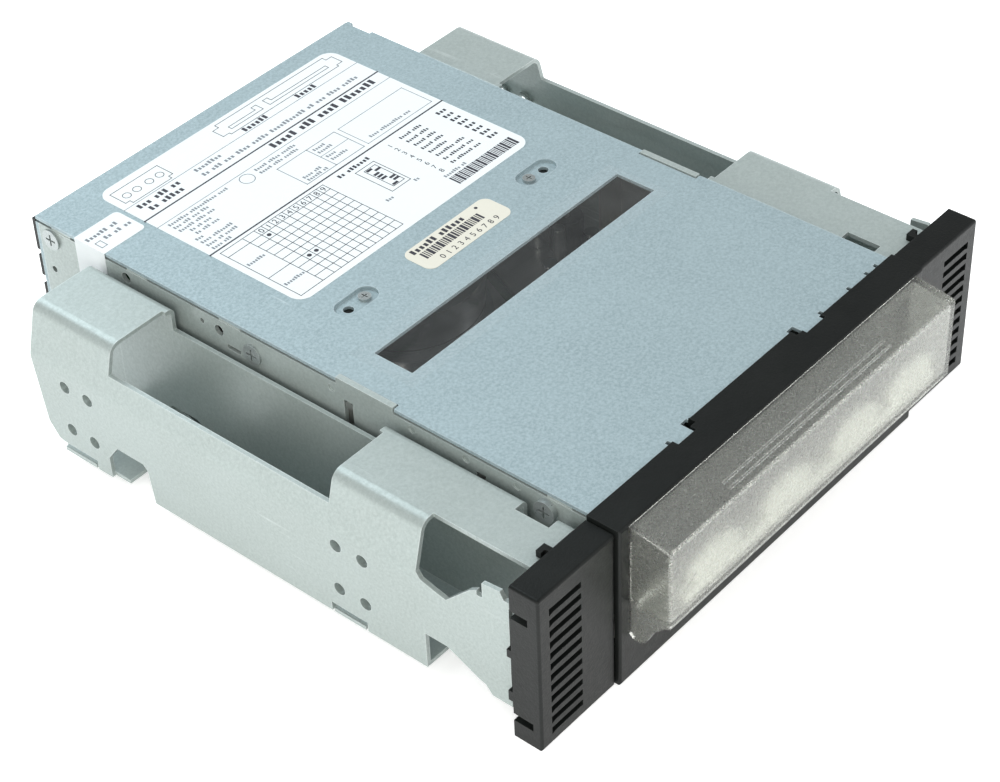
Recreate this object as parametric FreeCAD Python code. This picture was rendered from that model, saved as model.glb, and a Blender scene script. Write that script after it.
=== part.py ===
import FreeCAD, Part
import math
import os
from FreeCAD import Vector

# Data tape drive in a wide bay kit. Millimetres, X to the right, Y to the back, Z up.
# While building, Y = 0 is the front face of the bezel extensions and Z = 0 the underside.
# save() then moves every piece so that the origin is under the middle of the whole drive.

# Overall sizes
bay_width = 149.0
bay_height = 41.3
bracket_span = 146.0
body_width = 101.6
body_front = 7.3
body_length = 155.9
cover_step = 0.5
fit_gap = 0.3

# Chassis and covers
wall = 1.0
floor_thickness = 1.0
cover_thickness = 0.8
cover_seam = 0.5
cover_inset = 0.15
rear_panel_thickness = 1.0
rear_trim_thickness = 1.0
side_tab_width = 1.4
side_tab_front = 57.0
side_tab_length = 15.5
side_tab_rise = 0.3
brace_y = 86.4
brace_depth = 7.0
brace_thickness = 0.8
ledge_width = 4.8
cover_screw_x = 27.0
recess_length = 13.0
recess_width = 7.0
recess_depth = 0.8
recess_hole_offset = 5.0
window_front = 61.3
window_depth = 10.4
window_length = 80.0
rear_notch_depth = 0.9
rear_notch_front = 155.3
rear_notch_rear = 161.7
front_screw_y = 17.1
front_screw_drop = 3.4
rear_screw_places = ((96.5, 4.9), (158.2, 3.2))
side_holes = ((134.5, 2.8, 1.3), (106.3, 3.4, 1.3), (159.2, 11.9, 0.8), (111.3, 3.2, 0.6))
side_slot = (100.2, 104.2, 7.1, 6.0)
dimple_places = ((24.8, 2.0), (37.8, 2.0), (52.0, 2.0), (73.9, 2.4))
dimple_radius = 0.9
dimple_depth = 0.3
seat_places = (11.3, 100.0, 128.0, 152.0)
seat_length = 6.0
board_post_x = 45.0
board_post_rows = (36.0, 108.0, 151.8)
board_post_radius = 2.4
deck_post_places = ((-38.0, 26.0), (38.0, 26.0), (-40.0, 138.5), (40.0, 138.5))
deck_post_radius = 2.6
spacer_x = 42.0
spacer_rows = (146.5, 157.0)
spacer_radius = 2.4
switch_opening = 1.6
rear_vent_count = 9
rear_vent_pitch = 8.0
rear_vent_length = 5.0
rear_vent_height = 1.6
rear_vent_drop = 16.0

# Bezel
bezel_proud = 1.0
bezel_depth = 7.0
bezel_width = 103.2
bezel_skin = 2.2
bezel_lip = 1.2
bezel_round = 0.6
bezel_top_wall = 2.4
opening_width = 95.8
opening_gap = 0.3
opening_headroom = 0.5
shelf_thickness = 1.2
side_notch_depth = 1.6
side_notch_low = 6.0
side_notch_drop = 4.8
extension_step = 1.0
extension_skin = 2.0
extension_wall = 1.6
vent_count = 12
vent_length = 9.4
vent_width = 1.5
vent_low = 3.6
vent_top_margin = 4.9
vent_inset = 3.1
pocket_height = 1.9
pocket_drop = 7.3
tongue_reach = 3.0

# Brackets
sheet = 1.0
bracket_front = 8.5
bracket_rear = 143.0
bracket_bottom = 2.4
bend_drop = 12.2
flange_step = 3.1
flange_lean = 3.3
bracket_gap = 1.7
bend_radius = 3.0
inner_bend_radius = 1.6
soft_radius = 9.0
mid_notch_front = 55.8
mid_notch_rear = 119.0
mid_notch_depth = 7.0
inner_notch_depth = 5.7
window_rear = 32.4
window_edge_x = 66.5
floor_front = 30.6
floor_rear = 137.0
mount_pitch = 79.25
mount_row_low = 10.0
mount_row_high = 21.84
mount_front_a = 46.6
mount_row_offset = 7.1
mount_radius = 1.5
drive_screw_z = 6.35
drive_screw_front = 58.0
drive_screw_pitch = 60.0

# Cassette, carrier and lift
cassette_width = 95.0
cassette_height = 15.0
cassette_front = 14.0
cassette_depth = 62.5
cassette_gap = 0.3
carrier_sheet = 0.8
carrier_front = 22.0
carrier_top_rear = 58.0
carrier_lip = 5.6
carrier_headroom = 3.0
slider_travel = 14.0
slider_sheet = 0.6
slider_wall_gap = 0.1
pin_radius = 1.0
pin_slot_gap = 0.2
pin_front = 34.0
pin_pitch = 35.4
pin_top_margin = 2.0

# Deck and tape path
board_standoff = 1.6
board_thickness = 1.2
deck_bottom = 7.3
deck_thickness = 1.2
deck_front = 20.0
deck_rear = 142.0
deck_margin = 0.4
running_gap = 0.05
part_gap = 0.2
post_radius = 1.5
reel_spacing = 46.0
reel_y = 47.5
reel_radius = 9.0
drum_radius = 20.0
drum_y = 104.0
drum_base_height = 8.5
drum_gap = 0.4
rotor_height = 9.6
drum_tilt = 5.0
drum_flange = 2.0
carriage_start = (14.0, 70.0)
carriage_end = (27.0, 100.0)
carriage_width = 7.0
tape_post_gap = 0.3
tape_flange_lift = 2.9
tape_flange = 0.6
guide_post_places = ((-26.0, 80.0), (26.0, 80.0), (-40.0, 81.0), (41.0, 80.0))
capstan_x = 34.0
capstan_y = 84.0
flywheel_radius = 11.0
flywheel_bottom = 4.8
flywheel_thickness = 1.4
capstan_top = 24.0
arm_pivot_x = 43.0
arm_pivot_y = 98.0
arm_rest_angle = -102.0
arm_length = 11.0
arm_z = 12.0
arm_thickness = 1.2
pinch_radius = 4.0

# Loading gears
cam_x = -37.0
cam_y = 118.0
gear_module = 1.0
cam_pinion_teeth = 16
wheel_module = 0.6
wheel_teeth = 40
motor_pinion_teeth = 10
motor_direction = 50.0
wheel_bottom = 18.0
wheel_thickness = 2.0
motor_radius = 5.5
mesh_gap = 0.1

# Door, guard and front controls
door_thickness = 1.6
door_face = 0.4
door_axis_y = 1.3
door_axis_rise = 1.2
door_overlap = 0.6
door_knuckle = 1.0
door_pin_radius = 0.6
guard_wall = 1.2
guard_half_width = 48.8
guard_depth = 10.0
guard_floor_drop = 1.1
guard_top_gap = 0.3
guard_front_drop = 1.7
guard_tail_drop = 7.9
arrow_height = 7.5
guard_tail_depth = 6.0
arrow_rise = 0.15
button_x = 37.0
button_z = 10.0
button_width = 12.0
button_height = 5.0
button_travel = 1.2
button_proud = 0.8
pipe_radius = 1.2
pipe_z = 11.0
pipe_x = (-40.0, -34.0, -28.0)
front_board_y = 9.5
front_board_half = 44.0
front_board_drop = 2.4
front_boss_x = 22.0
front_boss_z = 6.0
front_boss_radius = 2.2

# Electronics
power_x = -27.0
power_width = 22.0
power_height = 11.0
power_depth = 13.0
pin_spacing = 5.08
data_x = 16.0
data_width = 44.0
data_height = 7.0
data_depth = 10.0
contact_count = 22
contact_pitch = 1.27
switch_y = 149.3
switch_length = 21.6
switch_width = 6.6
switch_count = 8
switch_pitch = 2.54
switch_height = 2.0
lever_travel = 1.0
lever_size = 1.0
lever_slot_depth = 0.7
lever_floor_gap = 0.05
lever_proud = 0.3
rear_board_front = 134.0
# Chips as middle x, middle y, width, depth, height
chip_places = ((-20.0, 60.0, 14.0, 14.0, 1.4), (6.0, 62.0, 20.0, 14.0, 1.6), (-26.0, 96.0, 12.0, 8.0, 1.2),
               (0.0, 108.0, 24.0, 24.0, 1.8), (30.0, 118.0, 10.0, 18.0, 1.4), (-20.0, 128.0, 8.0, 14.0, 1.2),
               (14.0, 36.0, 18.0, 8.0, 1.4), (-18.0, 38.0, 10.0, 10.0, 1.4))
rear_board_drop = 10.0

# Labels
label_thickness = 0.1
main_label_place = (-37.2, 38.2, 94.9, 158.0)
main_label_round = 3.4
small_label_place = (-12.2, 15.2, 80.6, 89.5)
small_label_round = 2.2
seal_y = (140.6, 150.2)
seal_right = -38.4
seal_round = 1.2
seal_length = 18.8
film_margins = (3.6, 1.6, 3.2, 3.6)
film_thickness = 0.15

# Places worked out from the sizes above
half_body = body_width / 2
inner_half = half_body - wall
body_rear = body_front + body_length
cover_top = bay_height - cover_step
cover_bottom = cover_top - cover_thickness
bezel_front = -bezel_proud
rear_end = body_rear + rear_trim_thickness
guard_front = bezel_front - guard_depth
origin_y = (guard_front - arrow_rise + rear_end) / 2
board_bottom = floor_thickness + board_standoff
board_top = board_bottom + board_thickness
deck_top = deck_bottom + deck_thickness
carrier_bottom_low = deck_top + fit_gap
carrier_height = cassette_height + 2 * (carrier_sheet + cassette_gap)
carrier_bottom = cover_bottom - carrier_headroom - carrier_height
lift_drop = carrier_bottom - carrier_bottom_low
cassette_bottom = carrier_bottom + carrier_sheet + cassette_gap
carrier_inner_top = cassette_bottom + cassette_height + cassette_gap
carrier_top = carrier_inner_top + carrier_sheet
carrier_inner_half = cassette_width / 2 + cassette_gap
carrier_half = carrier_inner_half + carrier_sheet
cassette_rear = cassette_front + cassette_depth
carrier_rear = cassette_rear + 1.5
pin_z = carrier_top - pin_top_margin
tape_post_top = cassette_bottom - tape_post_gap
tape_low = deck_top + tape_flange_lift
opening_low = cassette_bottom - opening_gap
opening_high = cassette_bottom + cassette_height + opening_headroom
side_notch_high = bay_height - side_notch_drop
door_axis_z = opening_high + door_axis_rise
door_bottom = opening_low - door_overlap
guard_low = opening_low - guard_floor_drop
guard_high = bay_height - guard_top_gap
guard_tail_low = guard_low - guard_tail_drop
extension_height = bay_height - extension_step
vent_high = extension_height - vent_top_margin
pocket_z = extension_height - pocket_drop
flange_top = bay_height - flange_step
bend_z = flange_top - bend_drop
mid_notch_low = flange_top - mid_notch_depth
inner_wall_top = flange_top - inner_notch_depth
rear_board_z = cover_bottom - rear_board_drop
slider_outer = inner_half - slider_wall_gap
slider_inner = slider_outer - slider_sheet
cam_pinion_pitch = gear_module * cam_pinion_teeth / 2
wheel_pitch = wheel_module * wheel_teeth / 2
motor_pinion_pitch = wheel_module * motor_pinion_teeth / 2
motor_distance = wheel_pitch + motor_pinion_pitch + mesh_gap
motor_x = cam_x + motor_distance * math.cos(math.radians(motor_direction))
motor_y = cam_y + motor_distance * math.sin(math.radians(motor_direction))


def box(x0, x1, y0, y1, z0, z1):
    return Part.makeBox(x1 - x0, y1 - y0, z1 - z0, Vector(x0, y0, z0))


def rod(radius, x, y, z, length, axis=(0, 0, 1)):
    return Part.makeCylinder(radius, length, Vector(x, y, z), Vector(*axis))


def tube(outer, inner, x, y, z, length, axis=(0, 0, 1)):
    return rod(outer, x, y, z, length, axis).cut(rod(inner, x, y, z, length, axis))


def fuse(first, *others):
    return first.fuse(list(others)).removeSplitter()


def mirrored(shape):
    return shape.mirror(Vector(0, 0, 0), Vector(1, 0, 0))


def face_of(points):
    return Part.Face(Part.makePolygon(points + [points[0]]))


def prism_x(points, x0, x1):
    return face_of([Vector(x0, y, z) for y, z in points]).extrude(Vector(x1 - x0, 0, 0))


def prism_y(points, y0, y1):
    return face_of([Vector(x, y0, z) for x, z in points]).extrude(Vector(0, y1 - y0, 0))


def prism_z(points, z0, z1):
    return face_of([Vector(x, y, z0) for x, y in points]).extrude(Vector(0, 0, z1 - z0))


def rounded_path(points, radii):
    """A wire through the points, with an arc of the given radius at each inner corner."""
    edges = []
    start = points[0]
    for index, radius in enumerate(radii, 1):
        corner = points[index]
        to_last = (points[index - 1] - corner).normalize()
        to_next = (points[index + 1] - corner).normalize()
        half = to_last.getAngle(to_next) / 2
        reach = radius / math.tan(half)
        middle = (to_last + to_next).normalize() * (radius / math.sin(half) - radius)
        arc_start = corner + to_last * reach
        arc_end = corner + to_next * reach
        edges.append(Part.LineSegment(start, arc_start).toShape())
        edges.append(Part.Arc(arc_start, corner + middle, arc_end).toShape())
        start = arc_end
    edges.append(Part.LineSegment(start, points[-1]).toShape())
    return Part.Wire(edges)


def obround(length, width, thickness, direction):
    """A slot shape centred on the origin, long in Y (or X for 'z') and thick along the direction."""
    radius = width / 2
    reach = length / 2 - radius
    if direction == "x":
        axis = (1, 0, 0)
        ends = [rod(radius, 0, side * reach, 0, thickness, axis) for side in (-1, 1)]
        middle = box(0, thickness, -reach, reach, -radius, radius)
    else:
        axis = (0, 0, 1)
        ends = [rod(radius, side * reach, 0, 0, thickness, axis) for side in (-1, 1)]
        middle = box(-reach, reach, -radius, radius, 0, thickness)
    return fuse(middle, *ends)


def placed(shape, x, y, z):
    return shape.translated(Vector(x, y, z))


def rounded_edges(shape, radius, chosen):
    edges = [edge for edge in shape.Edges if chosen(edge)]
    return shape.makeFillet(radius, edges)


def along(axis):
    """Picks straight edges that run along one axis."""
    def chosen(edge):
        if edge.Curve.TypeId != "Part::GeomLine":
            return False
        return abs(getattr(edge.tangentAt(edge.FirstParameter), axis)) > 0.999
    return chosen


def solids_of(shapes):
    found = []
    for shape in shapes:
        found.extend(shape.Solids)
    return found


def save(name, *shapes):
    solids = solids_of(shapes)
    moved = [solid.translated(Vector(0, -origin_y, 0)) for solid in solids]
    result = moved[0] if len(moved) == 1 else Part.makeCompound(moved)
    result.exportStep(os.path.join("parts", name + ".step"))
    print(name, len(moved), round(result.Volume, 1), result.isValid())


# Places that several pieces share
front_steps = (
    (-24.5, -19.4, -1.4),
    (-19.4, -17.4, 2.0),
    (-17.4, 17.0, 1.6),
    (17.0, 19.2, 2.4),
    (19.2, 25.2, -1.1),
)
front_hooks = (-25.8, 25.9, 36.2, 42.8, 46.2)
hook_notch = (1.0, 0.9)
board_posts = [(side * board_post_x, y) for side in (-1, 1) for y in board_post_rows]
deck_posts = list(deck_post_places)
spacer_posts = [(side * spacer_x, y) for side in (-1, 1) for y in spacer_rows]
drive_screws = [drive_screw_front, drive_screw_front + drive_screw_pitch]
pin_places = [pin_front, pin_front + pin_pitch]
front_screw = (front_screw_y, cover_bottom - front_screw_drop)
rear_screws = tuple((y, cover_bottom - drop) for y, drop in rear_screw_places)
screw_shank = 1.2
screw_head = 2.5


# Chassis, covers and rear

def cover_front_outline(extra):
    """Front edge of the cover, left to right, moved forward by extra."""
    half = half_body - cover_inset + extra
    points = [(-half, body_front - extra)]
    last = -half
    for x0, x1, step in front_steps:
        if x0 > last + 0.01:
            points.append((x0 - extra, body_front - extra))
        grow = extra if step < 0 else -extra
        left = x0 - grow
        right = x1 + grow
        points.append((left, body_front - extra + step))
        points.append((right, body_front - extra + step))
        last = x1
    points.append((last + extra, body_front - extra))
    points.append((half, body_front - extra))
    return points


def top_cover():
    half = half_body - cover_inset
    outline = cover_front_outline(0.0) + [(half, body_rear), (-half, body_rear)]
    plate = prism_z(outline, cover_bottom, cover_top)
    notch_width, notch_depth = hook_notch
    for x in front_hooks:
        plate = plate.cut(box(x, x + notch_width, 0, body_front + notch_depth, cover_bottom, cover_top))
    window = box(-window_length / 2, window_length / 2, window_front, window_front + window_depth,
                 cover_bottom, cover_top)
    plate = plate.cut(window)
    plate = plate.cut(box(half - rear_notch_depth, half, rear_notch_front, rear_notch_rear,
                          cover_bottom, cover_top))
    tab_edge = half_body - side_tab_width - fit_gap
    for side in (-1, 1):
        edge = sorted((side * tab_edge, side * half_body))
        plate = plate.cut(box(edge[0], edge[1], side_tab_front - fit_gap,
                              side_tab_front + side_tab_length + fit_gap, cover_bottom, cover_top))
    # A dish on each side takes the cover screw and a sight hole
    for side in (-1, 1):
        centre = side * (cover_screw_x + recess_hole_offset / 2)
        dish = placed(obround(recess_length, recess_width, cover_thickness + recess_depth, "z"),
                      centre, brace_y, cover_bottom - recess_depth)
        hollow = placed(obround(recess_length - 2 * cover_thickness, recess_width - 2 * cover_thickness,
                                recess_depth, "z"), centre, brace_y, cover_bottom)
        plate = fuse(plate, dish).cut(hollow)
        for x, radius in ((cover_screw_x, screw_shank), (cover_screw_x + recess_hole_offset, screw_shank)):
            plate = plate.cut(rod(radius, side * x, brace_y, 0, cover_top))
    return plate


def cross_brace():
    top = cover_bottom - recess_depth
    plate = box(-inner_half + part_gap, inner_half - part_gap, brace_y - brace_depth / 2,
                brace_y + brace_depth / 2, top - brace_thickness, top)
    for side in (-1, 1):
        plate = fuse(plate, rod(2.2, side * cover_screw_x, brace_y, top - brace_thickness - 1.2, 1.2))
        plate = plate.cut(rod(screw_shank, side * cover_screw_x, brace_y, 0, cover_top))
    return plate


def chassis():
    wall_top = cover_bottom - cover_seam
    floor = box(-half_body, half_body, body_front, body_rear - rear_panel_thickness, 0, floor_thickness)
    side = box(-half_body, -inner_half, body_front, body_rear - rear_panel_thickness, 0, wall_top)
    # Seats that carry the cover above the seam
    for y in seat_places:
        side = fuse(side, box(-half_body + cover_inset, -inner_half, y, y + seat_length, wall_top, cover_bottom))
    # Tab beside the window that stands just above the cover
    side = fuse(side, box(-half_body, -half_body + side_tab_width, side_tab_front,
                          side_tab_front + side_tab_length, wall_top, cover_top + side_tab_rise))
    # Ledge that the cross brace lies on
    ledge_top = cover_bottom - recess_depth - brace_thickness
    side = fuse(side, box(-inner_half, -inner_half + ledge_width, brace_y - brace_depth / 2,
                          brace_y + brace_depth / 2, ledge_top - brace_thickness, ledge_top))
    # Upright slots for the carrier's pins
    slot_radius = pin_radius + pin_slot_gap
    for y in pin_places:
        low = pin_z - lift_drop - slot_radius
        side = side.cut(box(-half_body, -inner_half, y - slot_radius, y + slot_radius,
                            low, pin_z + slot_radius))
    # Threaded side holes, small sight holes and a slot
    for y in drive_screws:
        side = side.cut(rod(mount_radius, -half_body, y, drive_screw_z, wall, (1, 0, 0)))
    for y, drop, radius in side_holes:
        side = side.cut(rod(radius, -half_body, y, cover_bottom - drop, wall, (1, 0, 0)))
    y0, y1, low_drop, high_drop = side_slot
    side = side.cut(box(-half_body, -inner_half, y0, y1, cover_bottom - low_drop, cover_bottom - high_drop))
    for y, z in (front_screw,) + rear_screws:
        side = side.cut(rod(screw_shank, -half_body, y, z, wall, (1, 0, 0)))
    # Pressed dimples along the upper front edge
    for y, drop in dimple_places:
        side = side.cut(rod(dimple_radius, -half_body, y, cover_bottom - drop, dimple_depth, (1, 0, 0)))
    body = fuse(floor, side, mirrored(side))
    for x, y in board_posts:
        body = fuse(body, rod(board_post_radius, x, y, floor_thickness, board_standoff))
        body = body.cut(rod(screw_shank, x, y, 0, board_bottom))
    for x, y in deck_posts:
        body = fuse(body, rod(deck_post_radius, x, y, floor_thickness, deck_bottom - floor_thickness))
        body = body.cut(rod(screw_shank, x, y, deck_bottom - 4.0, 4.0))
    half_x = switch_length / 2 + switch_opening
    half_y = switch_width / 2 + switch_opening
    body = body.cut(box(-half_x, half_x, switch_y - half_y, switch_y + half_y, 0, floor_thickness))
    return body


def connector_openings(y0, y1, extra):
    """Clear space round the two rear connectors."""
    power = box(power_x - power_width / 2 - extra, power_x + power_width / 2 + extra, y0, y1,
                board_top - extra, board_top + power_height + extra)
    data = box(data_x - data_width / 2 - extra, data_x + data_width / 2 + extra, y0, y1,
               board_top - extra, board_top + data_height + extra)
    return [power, data]


def rear_panel():
    y0 = body_rear - rear_panel_thickness
    plate = box(-half_body, half_body, y0, body_rear, 0, cover_bottom - cover_seam)
    for opening in connector_openings(y0, body_rear, fit_gap):
        plate = plate.cut(opening)
    low = cover_bottom - rear_vent_drop
    for index in range(rear_vent_count):
        x = rear_vent_pitch * (index - (rear_vent_count - 1) / 2)
        plate = plate.cut(box(x, x + rear_vent_length, y0, body_rear, low, low + rear_vent_height))
    return plate


def rear_trim():
    frame = box(-half_body, half_body, body_rear, rear_end, 1.0, cover_bottom)
    frame = frame.cut(box(-half_body + 2.0, half_body - 2.0, body_rear, rear_end, 17.0, cover_bottom - 3.0))
    for opening in connector_openings(body_rear, rear_end, fit_gap):
        frame = frame.cut(opening)
    for side in (-1, 1):
        for z, height in ((9.0, 3.0), (22.0, 2.4), (30.0, 1.6)):
            x = sorted((side * half_body, side * (half_body - 1.0)))
            frame = frame.cut(box(x[0], x[1], body_rear, rear_end, z, z + height))
    return frame


# Bay brackets

def left_bracket():
    half_span = bracket_span / 2
    inner_face = half_body + bracket_gap
    profile = [
        Vector(-half_span, bracket_front, bracket_bottom),
        Vector(-half_span, bracket_front, bend_z),
        Vector(-half_span + flange_lean, bracket_front, flange_top),
        Vector(-inner_face, bracket_front, flange_top),
        Vector(-inner_face, bracket_front, bracket_bottom),
    ]
    path = rounded_path(profile, [soft_radius, bend_radius, inner_bend_radius])
    skin = path.makeOffset2D(-sheet, 0, True, True)
    bracket = skin.extrude(Vector(0, bracket_rear - bracket_front, 0))
    outside = -half_span - 1.0
    inside = -inner_face + 1.0
    # Cut-out between the two upper sections, deeper on the outside
    bracket = bracket.cut(box(outside, -inner_face - 2.5, mid_notch_front, mid_notch_rear,
                              mid_notch_low, flange_top + 1.0))
    gap = box(-inner_face - 4.0, inside, mid_notch_front + 1.0, mid_notch_rear - 1.0,
              inner_wall_top, flange_top + 1.0)
    bracket = bracket.cut(gap)
    # Open corner behind the extension, where a flat tab stands up instead of the bend
    corner_z = bend_z - 1.2
    outline = [(0.0, corner_z - 2.0), (20.0, corner_z - 2.0), (24.5, corner_z), (31.0, bend_z + 0.2),
               (window_rear, bend_z + 1.4), (window_rear, flange_top + 1.0), (0.0, flange_top + 1.0)]
    bracket = bracket.cut(prism_x(outline, outside, -window_edge_x))
    tongue_low = pocket_z - pocket_height / 2 + 0.2
    tongue_high = pocket_z + pocket_height / 2 - 0.2
    front_tab = [(bracket_front, corner_z - 3.0), (24.5, corner_z - 3.0), (24.5, corner_z),
                 (18.3, pocket_z - 1.8), (16.4, pocket_z - 0.6), (16.4, pocket_z - 1.8), (15.0, pocket_z - 1.8),
                 (15.0, pocket_z + 2.0), (10.6, pocket_z + 2.5), (9.6, tongue_high),
                 (tongue_reach, tongue_high), (tongue_reach, tongue_low), (bracket_front, tongue_low)]
    bracket = fuse(bracket, prism_x(front_tab, -half_span, -half_span + sheet))
    # Lower front edge rises behind the extension
    nose = [(0.0, 0.0), (24.6, 0.0), (24.6, 11.8), (17.0, 8.1), (15.2, 7.6), (13.6, 5.6), (0.0, 5.6)]
    bracket = bracket.cut(prism_x(nose, outside, -inner_face - 2.5))
    bracket = bracket.cut(box(outside, -inner_face - 2.5, 24.6, floor_front, 0, 11.9))
    # Notch for a lock finger, and reliefs over the two floor tabs
    lock = [(108.2, 0.0), (108.2, 3.2), (109.2, 11.0), (110.4, 12.3), (118.4, 12.3), (121.6, 8.0), (121.6, 0.0)]
    bracket = bracket.cut(prism_x(lock, outside, -half_span + 2.5))
    tabs = ((46.6, 56.4), (126.0, 137.0))
    for y0, y1 in tabs:
        bracket = bracket.cut(box(outside, -half_span + 2.5, y0, y1, 0, 4.8))
    # Rear end is cut back at the bottom corner
    rear_cut = [(floor_rear - 0.5, 0.0), (floor_rear - 0.5, 4.8), (floor_rear + 1.0, 5.2), (140.6, 8.7),
                (bracket_rear, bend_z), (bracket_rear + 1.0, bend_z), (bracket_rear + 1.0, 0.0)]
    bracket = bracket.cut(prism_x(rear_cut, outside, -half_span + 3.0))
    bracket = bracket.cut(box(-half_span + 3.0, inside, floor_rear, bracket_rear + 1.0, 0, bend_z - 4.0))
    # Recess in the flange round the chassis screw
    recess = box(-inner_face - 3.6, inside, front_screw[0] - 4.6, front_screw[0] + 3.8,
                 front_screw[1] - 5.1, flange_top + 1.0)
    bracket = bracket.cut(recess)
    # Floor between the walls, with two tabs under the outer wall
    floor = box(-half_span + sheet, -inner_face - sheet, floor_front, floor_rear,
                bracket_bottom, bracket_bottom + sheet)
    for y0, y1 in tabs:
        tab = box(-half_span, -half_span + sheet, y0 + 0.6, y1 - 0.6, bracket_bottom, bracket_bottom + sheet)
        floor = fuse(floor, tab)
    lock_gap = box(-half_span, -half_span + 6.0, 109.0, 117.0, 0, bracket_bottom + sheet)
    bracket = fuse(bracket, floor.cut(lock_gap))
    # Raised seats that reach the drive, with the drive screws inside them
    pad_height = 2 * (drive_screw_z - bracket_bottom)
    for y in drive_screws:
        pad = placed(obround(14.0, pad_height, bracket_gap, "x"), -inner_face, y, drive_screw_z)
        recess = placed(obround(12.0, pad_height - 1.6, bracket_gap, "x"), -inner_face - sheet, y, drive_screw_z)
        bracket = fuse(bracket, pad).cut(recess)
        bracket = bracket.cut(rod(mount_radius, -inner_face - sheet, y, drive_screw_z, 4.0, (1, 0, 0)))
    # Extruded side holes on both rows and both stations
    for y in bracket_hole_columns():
        for z in (mount_row_low, mount_row_high):
            collar = rod(mount_radius + 0.6, -half_span + sheet, y, z, 0.8, (1, 0, 0))
            bracket = fuse(bracket, collar)
            bracket = bracket.cut(rod(mount_radius, outside, y, z, 5.0, (1, 0, 0)))
    return bracket


def bracket_hole_columns():
    front = (mount_front_a, mount_front_a + mount_row_offset)
    return [y + shift for shift in (0.0, mount_pitch) for y in front]


# Front: bezel, extensions, guard and door

def centre_bezel():
    half = bezel_width / 2
    body = box(-half, half, bezel_front, bezel_depth, 0, bay_height)
    body = rounded_edges(body, bezel_round, lambda edge: abs(edge.BoundBox.YMax - bezel_front) < 0.01)
    lip_reach = max(step for _, _, step in front_steps)
    lip = box(front_steps[2][0], front_steps[2][1], bezel_depth, body_front + lip_reach,
              bay_height - bezel_top_wall, bay_height)
    body = fuse(body, lip)
    cover_space = cover_front_outline(fit_gap) + [(half, body_rear), (-half, body_rear)]
    body = body.cut(prism_z(cover_space, cover_bottom - fit_gap, bay_height))
    side_wall = half - (half_body - 2.4)
    inner = half - side_wall
    # Cassette opening and the door's pocket behind it
    body = body.cut(box(-opening_width / 2, opening_width / 2, bezel_front, bezel_depth,
                        opening_low, opening_high))
    pocket_low = opening_low - 1.0
    body = body.cut(box(-inner, inner, bezel_front + bezel_lip, bezel_depth,
                        pocket_low, bay_height - bezel_top_wall))
    # Hollow lower part
    body = body.cut(box(-inner, inner, bezel_front + bezel_skin, bezel_depth,
                        bezel_skin, pocket_low - shelf_thickness))
    # Finger notches in both sides
    for side in (-1, 1):
        x = sorted((side * half, side * (half - side_notch_depth)))
        body = body.cut(box(x[0], x[1], bezel_front + 1.4, bezel_depth, side_notch_low, side_notch_high))
    body = body.cut(rod(door_pin_radius, -half + 1.0, door_axis_y, door_axis_z, 2 * half - 2.0, (1, 0, 0)))
    # Button and light pipe holes
    body = body.cut(box(button_x - button_width / 2 - fit_gap, button_x + button_width / 2 + fit_gap,
                        bezel_front, bezel_front + bezel_skin, button_z - button_height / 2 - fit_gap,
                        button_z + button_height / 2 + fit_gap))
    for x in pipe_x:
        body = body.cut(rod(pipe_radius, x, bezel_front, pipe_z, bezel_skin, (0, 1, 0)))
    # Bosses for the front board, and tongues that reach into the chassis
    for side in (-1, 1):
        boss = rod(front_boss_radius, side * front_boss_x, bezel_front + bezel_skin, front_boss_z,
                   front_board_y - bezel_front - bezel_skin, (0, 1, 0))
        body = fuse(body, boss)
        body = body.cut(rod(screw_shank, side * front_boss_x, front_board_y - 4.0, front_boss_z, 4.0, (0, 1, 0)))
        x = sorted((side * (inner_half - part_gap), side * (inner_half - 2.2)))
        body = fuse(body, box(x[0], x[1], bezel_depth - 1.0, body_front + 5.0, 9.0, 15.0))
    return body


def bezel_clip():
    """Sprung metal clip in the bezel's left side notch."""
    x = -bezel_width / 2
    y = bezel_front + 1.4
    leaf = box(x + side_notch_depth - 0.5, x + side_notch_depth, y, bezel_depth - 0.4, 12.0, 17.0)
    nose = rod(1.1, x + side_notch_depth - 1.1, y + 0.8, 12.6, 3.8)
    nose = nose.common(box(x, x + side_notch_depth, y, bezel_depth, 12.0, 17.0))
    return fuse(leaf, nose)


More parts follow.
